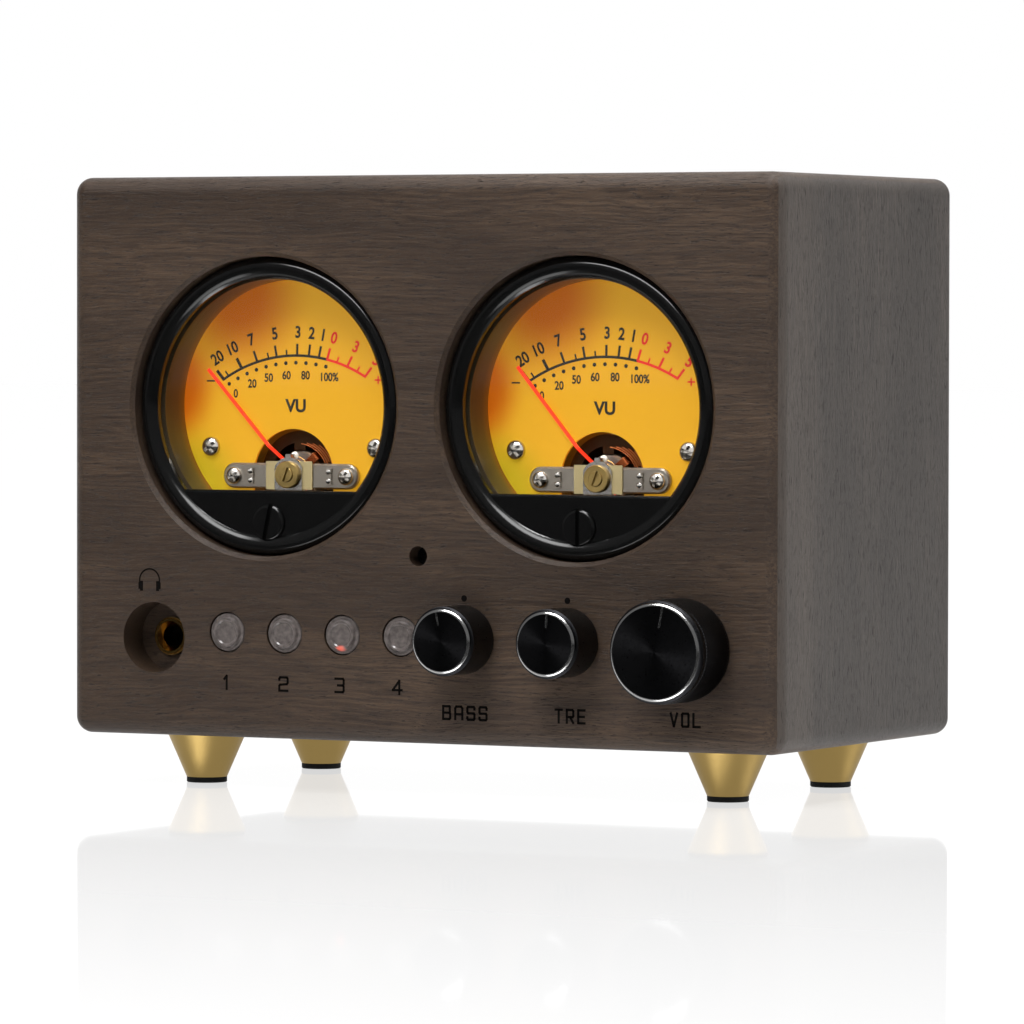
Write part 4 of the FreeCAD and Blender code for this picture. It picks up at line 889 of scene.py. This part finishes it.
def crosshead_screw(u, v, radius, front, seat, end, turn, sign=1.0):
    """A domed screw with a cross recess and a plain shank. The sign is -1 on the rear."""
    shape = bmesh.new()
    height = abs(seat - front)
    dome = [(radius * math.sin(a), front + sign * height * 0.75 * (1 - math.cos(a)))
            for a in (math.radians(10 * k) for k in range(10))]
    turned(shape, dome + [(radius, seat), (radius * 0.5, seat), (radius * 0.5, end),
                          (0.0, end)], u, v, 40)
    cutter = bmesh.new()
    cosine, sine = math.cos(math.radians(turn)), math.sin(math.radians(turn))
    arm, half, floor = radius * 0.7, radius * 0.17, front + sign * height * 0.8
    star = []
    for k in range(4):
        a = math.radians(90 * k)
        for x, y in ((half, half), (arm, half), (arm, -half)):
            star.append((x * math.cos(a) + y * math.sin(a), y * math.cos(a) -
                         x * math.sin(a)))
    outline = [(u + x * cosine - y * sine, v + x * sine + y * cosine) for x, y in star]
    plate(cutter, outline, front - sign * 0.5, floor)
    return cut(shape, cutter)


def screw_set(name, node, material, spots, body="case"):
    """Several screws as one piece that stands for their solid."""
    whole = bmesh.new()
    for spot in spots:
        one = crosshead_screw(*spot)
        mesh = bpy.data.meshes.new("one")
        one.to_mesh(mesh)
        one.free()
        whole.from_mesh(mesh)
        bpy.data.meshes.remove(mesh)
    piece = finish_piece(name, whole, material, body, 35.0)
    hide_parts(node)
    return piece


bridge_spots, dial_spots = [], []
for middle in METERS.values():
    for sign, turn in ((-1, 25.0), (1, 60.0)):
        bridge_spots.append((middle + 10.3 * sign, PIVOT_LEVEL - 0.25, 1.35, 8.35, 9.2,
                             15.0, turn))
        dial_spots.append((middle + 15.2 * sign, METER_LEVEL - 6.7, 1.6, 9.35, 10.4, 17.3,
                           turn + 10.0))
screw_set("bridge_crosshead_screws", "bridge_screws", bright_nickel, bridge_spots)
screw_set("dial_crosshead_screws", "dial_screws", bright_nickel, dial_spots)
corners = [(u, v) for u in (-56.6, 0.0, 56.6) for v in (6.9, 83.1)]
panel_spots = [(u, v, 2.05, CASE_DEPTH + 0.4, PANEL_BACK, CASE_DEPTH - 9.2,
                20.0 + 37.0 * k, -1.0) for k, (u, v) in enumerate(corners)]
screw_set("panel_crosshead_screws", "rear_panel_screws", black_paint, panel_spots)
print("screws cut:", len(bridge_spots) + len(dial_spots) + len(panel_spots))

# %% [markdown]
# ## The movement
#
# Each meter is an open moving-coil movement, and its coil shows through the hole in the dial.
# The coil is a few dozen turns of enamelled wire on a rectangular frame. Twelve visible turns
# in two layers read as a winding at this size. It swings with the needle, so it rides on the
# needle's body. Fine wires lead from the hairspring to the coil, with a drop of glue where
# the spring is fixed. Small rounded pins stand on the bridge, two on each side.

# %% Wound coils, lead wires and glue
COIL_HALF, COIL_FRONT, COIL_BACK = 4.6, 11.85, 21.05


def rounded_frame(half, front, back, corner):
    """A rectangle across and into the depth, with rounded corners."""
    loop = []
    for sign_u, sign_d in ((1, 1), (1, -1), (-1, -1), (-1, 1)):
        centre = (sign_u * (half - corner),
                  (back - corner) if sign_d > 0 else (front + corner))
        first = {(1, 1): 90, (1, -1): 0, (-1, -1): -90, (-1, 1): 180}[(sign_u, sign_d)]
        for k in range(5):
            a = math.radians(first - 90 * k / 4)
            loop.append((centre[0] + corner * math.cos(a), centre[1] + corner * math.sin(a)))
    return loop


for side, middle in METERS.items():
    angle = math.radians(REST_ANGLE[side])
    cosine, sine = math.cos(angle), math.sin(angle)
    turns = []
    for layer in range(2):
        for k in range(6):
            rise = -0.6 + 0.24 * k + 0.05 * layer
            shrink = 0.2 * layer
            loop = rounded_frame(COIL_HALF - shrink, COIL_FRONT + shrink,
                                 COIL_BACK - shrink, 0.5)
            turns.append([(middle + x * cosine - rise * sine, depth,
                           PIVOT_LEVEL + x * sine + rise * cosine) for x, depth in loop])
    coil = wire(f"wound_coil_{side}", turns, 0.115, copper_wire, f"needle_{side}",
                closed=True)
    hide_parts(f"meter_coil_{side}")
    pin = bmesh.new()
    turned(pin, [(0.0, 21.1), (0.38, 21.1), (0.38, 23.0), (0.0, 23.0)], middle,
           PIVOT_LEVEL, 24)
    turned(pin, [(0.0, 11.6), (0.9, 11.6), (0.9, 11.95), (0.0, 11.95)], middle,
           PIVOT_LEVEL, 24)
    finish_piece(f"coil_pivot_{side}", pin, steel, f"needle_{side}")
    leads = []
    for k in range(5):
        reach = 5.6 + 0.25 * k
        sweep = [(middle + reach * math.sin(math.radians(a)), 11.6 + 0.25 * k,
                  PIVOT_LEVEL + (reach - 0.6) * math.cos(math.radians(a)))
                 for a in range(8 + 9 * k, 74, 6)]
        leads.append(sweep)
    wire(f"lead_wires_{side}", leads, 0.09, copper_wire, "case")
    blob = bmesh.new()
    turned(blob, [(0.0, 10.1), (0.35, 10.12), (0.6, 10.3), (0.66, 10.5), (0.5, 10.7),
                  (0.0, 10.75)], middle + 0.25, PIVOT_LEVEL + 3.05, 24)
    finish_piece(f"glue_drop_{side}", blob, glue, f"zero_lever_{side}")
    pins = bmesh.new()
    for out in (-7.2, 7.2):
        for rise in (-1.0, 0.5):
            turned(pins, [(0.0, 8.72), (0.32, 8.76), (0.55, 8.95), (0.6, 9.25),
                          (0.0, 9.25)], middle + out, PIVOT_LEVEL + rise, 24)
    finish_piece(f"staked_pins_{side}", pins, bright_nickel, "case")
print("movements wound")

# %% [markdown]
# ## Edge of the bezel's apron
#
# The straight top edge of the bezel's lower part has a small round on it, and that round is
# what shows as a thin bright line. A thin rod set flush into the edge gives the light
# something to run along.

# %% Rounded apron edges
for side, middle in METERS.items():
    edge = bmesh.new()
    profile = [(0.28 * math.cos(math.radians(a)), 0.28 * math.sin(math.radians(a)))
               for a in range(0, 360, 30)]
    ends = []
    for u in (-15.6, 15.6):
        ends.append([edge.verts.new(at(middle + u, 2.42 + d, METER_LEVEL - 13.72 + w))
                     for d, w in profile])
    edge.faces.new(ends[0])
    edge.faces.new(ends[1])
    for i in range(len(profile)):
        edge.faces.new((ends[0][i - 1], ends[0][i], ends[1][i], ends[1][i - 1]))
    finish_piece(f"apron_edge_{side}", edge, polished_abs, "case", 60.0)
print("apron edges rounded")

# %% [markdown]
# ## Sockets on the rear
#
# A phono socket is a plated tube round an insulator with a hole for the plug's pin. The
# insulator is white for the left channel and red for the right. The tubes are hollow at the
# end, which the eye notices at once, so they are turned here in full.

# %% Phono sockets and their print
SOCKET_END = PANEL_BACK + 8.0
sockets, colours = bmesh.new(), {"red": bmesh.new(), "white": bmesh.new()}
blocks = bmesh.new()
pairs = [-38.0 + 18.0 * i for i in range(5)]
for u in pairs:
    plate(blocks, [(u - 5, 23.6), (u + 5, 23.6), (u + 5, 51.5), (u - 5, 51.5)],
          PANEL_BACK - 12.5, PANEL_BACK - 1.5)
    for level, colour in ((31.5, "red"), (45.5, "white")):
        turned(sockets, [(3.3, SOCKET_END - 0.1), (3.5, SOCKET_END), (3.9, SOCKET_END),
                         (4.15, SOCKET_END - 0.25), (4.15, PANEL_BACK - 1.3),
                         (3.3, PANEL_BACK - 1.3)], u, level, 64)
        turned(sockets, [(1.55, SOCKET_END - 0.7), (1.9, SOCKET_END - 0.7),
                         (1.9, PANEL_BACK + 0.2), (1.55, PANEL_BACK + 0.2)], u, level, 32)
        turned(colours[colour], [(1.95, SOCKET_END - 0.6), (2.1, SOCKET_END - 0.5),
                                 (3.1, SOCKET_END - 0.5), (3.25, SOCKET_END - 0.6),
                                 (3.25, PANEL_BACK - 1.2), (1.95, PANEL_BACK - 1.2)],
               u, level, 48)
plated = finish_piece("phono_tubes", sockets, bright_nickel, "case")
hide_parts("phono_sockets")
finish_piece("phono_blocks", blocks, matt_abs, "case")
finish_piece("phono_insulators_right", colours["red"], red_abs, "case")
finish_piece("phono_insulators_left", colours["white"], white_abs, "case")
legend = bmesh.new()
for text, u, v, high in (*[(str(k + 1), u, 53.4, 2.2) for k, u in enumerate(pairs[:4])],
                         ("OUT", pairs[4], 53.4, 2.2), ("L", -45.5, 45.5, 2.2),
                         ("R", -45.5, 31.5, 2.2), ("DC 12V", 49.5, 37.5, 1.7)):
    add_word(legend, text, u, v, high, 0.0, 1.0, PANEL_BACK, 0.03, mirrored=True)
finish_piece("rear_legend", legend, white_ink, "case")
print("sockets and rear print made")

# %% [markdown]
# ## Floor, light and camera
#
# The object stands on a pale glossy table in front of a white background. The floor shows a
# faint mirror image that fades towards the viewer, so some gloss is mixed into it. It glows
# evenly to the main camera and joins the background there without an edge. The lights are
# three large soft boxes: one above, one high in front and one on the right. The one in front
# hangs high so that no flat black face mirrors it to the camera. The room behind the camera
# is dark, which keeps black plastic black.

# %% Floor
floor_mesh = bpy.data.meshes.new("floor")
floor_shape = bmesh.new()
bmesh.ops.create_grid(floor_shape, x_segments=1, y_segments=1, size=6.0)
floor_shape.to_mesh(floor_mesh)
floor_shape.free()
floor = bpy.data.objects.new("floor", floor_mesh)
bpy.context.scene.collection.objects.link(floor)
paper = bpy.data.materials.new("table_white_gloss")
paper.use_nodes = True
tree = paper.node_tree
tree.nodes.clear()
matt = add(tree, "BsdfDiffuse", {"Color": linear("#F2F2F2")})
glow = add(tree, "Emission", {"Color": (1.0, 1.0, 1.0, 1.0), "Strength": 1.12})
mirror = add(tree, "BsdfGlossy", {"Color": (1.0, 1.0, 1.0, 1.0), "Roughness": 0.04})
rays = add(tree, "LightPath")
floor_place = add(tree, "SeparateXYZ", links={"Vector": millimetres(tree)})
# In reflections the table ends in dark cloth just in front of the object.
behind = add(tree, "MapRange", {"From Min": -75.0, "From Max": -35.0},
             {"Value": floor_place.outputs["Y"]})
mirrored = add(tree, "Math", {"operation": "MULTIPLY"}, {0: rays.outputs["Is Glossy Ray"],
                                                         1: behind.outputs[0]})
seen = add(tree, "Math", {"operation": "MAXIMUM"}, {0: rays.outputs["Is Camera Ray"],
                                                    1: mirrored.outputs[0]})
share = add(tree, "Math", {"operation": "MULTIPLY", 1: 0.88}, {0: seen.outputs[0]})
pale = add(tree, "MixShader", links={0: share.outputs[0], 1: matt.outputs[0],
                                     2: glow.outputs[0]})
in_front = add(tree, "Math", {"operation": "SUBTRACT"}, {0: rays.outputs["Is Glossy Ray"],
                                                        1: mirrored.outputs[0]})
cloth = add(tree, "BsdfDiffuse", {"Color": linear("#050505")})
pale = add(tree, "MixShader", links={0: in_front.outputs[0], 1: pale.outputs[0],
                                     2: cloth.outputs[0]})
fade = add(tree, "MapRange", {"From Min": -520.0, "From Max": -110.0, "To Min": 0.0,
                              "To Max": 0.32}, {"Value": floor_place.outputs["Y"]})
surface = add(tree, "MixShader", links={0: fade.outputs[0], 1: pale.outputs[0],
                                        2: mirror.outputs[0]})
add(tree, "OutputMaterial", links={"Surface": surface.outputs[0]})
floor.data.materials.append(paper)
print("floor laid")

# %% Background
world = bpy.data.worlds.new("studio")
bpy.context.scene.world = world
world.use_nodes = True
tree = world.node_tree
tree.nodes.clear()
rays = add(tree, "LightPath")
toward = add(tree, "SeparateXYZ", links={"Vector": add(tree, "TexCoord").outputs["Generated"]})
behind = add(tree, "MapRange", {"From Min": 0.1, "From Max": 0.4},
             {"Value": toward.outputs["Y"]})
shown = add(tree, "Math", {"operation": "MULTIPLY"}, {0: rays.outputs["Is Glossy Ray"],
                                                      1: behind.outputs[0]})
# Gloss mirrors white only from behind the object, and less of it on the right.
aside = add(tree, "MapRange", {"From Min": 0.2, "From Max": -0.2, "To Min": 0.25,
                               "To Max": 1.0}, {"Value": toward.outputs["X"]})
shown = add(tree, "Math", {"operation": "MULTIPLY"}, {0: shown.outputs[0],
                                                      1: aside.outputs[0]})
shown = add(tree, "Math", {"operation": "MAXIMUM"}, {0: shown.outputs[0],
                                                     1: rays.outputs["Is Camera Ray"]})
shown = add(tree, "Math", {"operation": "MAXIMUM"}, {0: shown.outputs[0],
                                                     1: rays.outputs["Is Transmission Ray"]})
soft = add(tree, "Background", {"Color": (1.0, 1.0, 1.0, 1.0), "Strength": 0.13})
white = add(tree, "Background", {"Color": (1.0, 1.0, 1.0, 1.0), "Strength": 1.0})
sky = add(tree, "MixShader", links={0: shown.outputs[0], 1: soft.outputs[0],
                                    2: white.outputs[0]})
add(tree, "OutputWorld", links={"Surface": sky.outputs[0]})
print("background set")

# %% Soft boxes
# Name, place, what it points at, width and height in metres, and watts.
SOFT_BOXES = [
    ("overhead_box", (0.1, -0.05, 0.75), (0.0, 0.0, 0.05), (0.55, 0.25), 6.5),
    ("front_high_box", (-0.1, -0.8, 0.95), (0.0, -0.03, 0.05), (0.8, 0.5), 9.5),
    ("right_box", (0.85, 0.45, 0.5), (0.06, 0.0, 0.05), (0.5, 0.7), 2.6),
]
for name, place, target, size, power in SOFT_BOXES:
    lamp = bpy.data.lights.new(name, "AREA")
    lamp.shape = "RECTANGLE"
    lamp.size, lamp.size_y = size
    lamp.energy = power
    box = bpy.data.objects.new(name, lamp)
    box.location = place
    box.rotation_euler = (Vector(target) - Vector(place)).to_track_quat("-Z", "Y").to_euler()
    bpy.context.scene.collection.objects.link(box)
print("soft boxes hung:", len(SOFT_BOXES))

# %% Camera
camera_data = bpy.data.cameras.new("camera")
camera_data.lens = 237.3
camera_data.sensor_width = 36.0
camera_data.clip_start = 0.01
camera = bpy.data.objects.new("camera", camera_data)
camera.location = (0.503573, -0.970429, 0.075132)
yaw, pitch, roll = math.radians(27.388), math.radians(-1.612), math.radians(0.098)
look = Vector((-math.sin(yaw) * math.cos(pitch), math.cos(yaw) * math.cos(pitch),
               math.sin(pitch)))
camera.rotation_mode = "QUATERNION"
turn = Quaternion(look, -roll)
camera.rotation_quaternion = turn @ look.to_track_quat("-Z", "Y")
bpy.context.scene.collection.objects.link(camera)
bpy.context.scene.camera = camera
bpy.context.scene.view_settings.view_transform = "Standard"
print("camera at", tuple(round(x, 3) for x in camera.location))
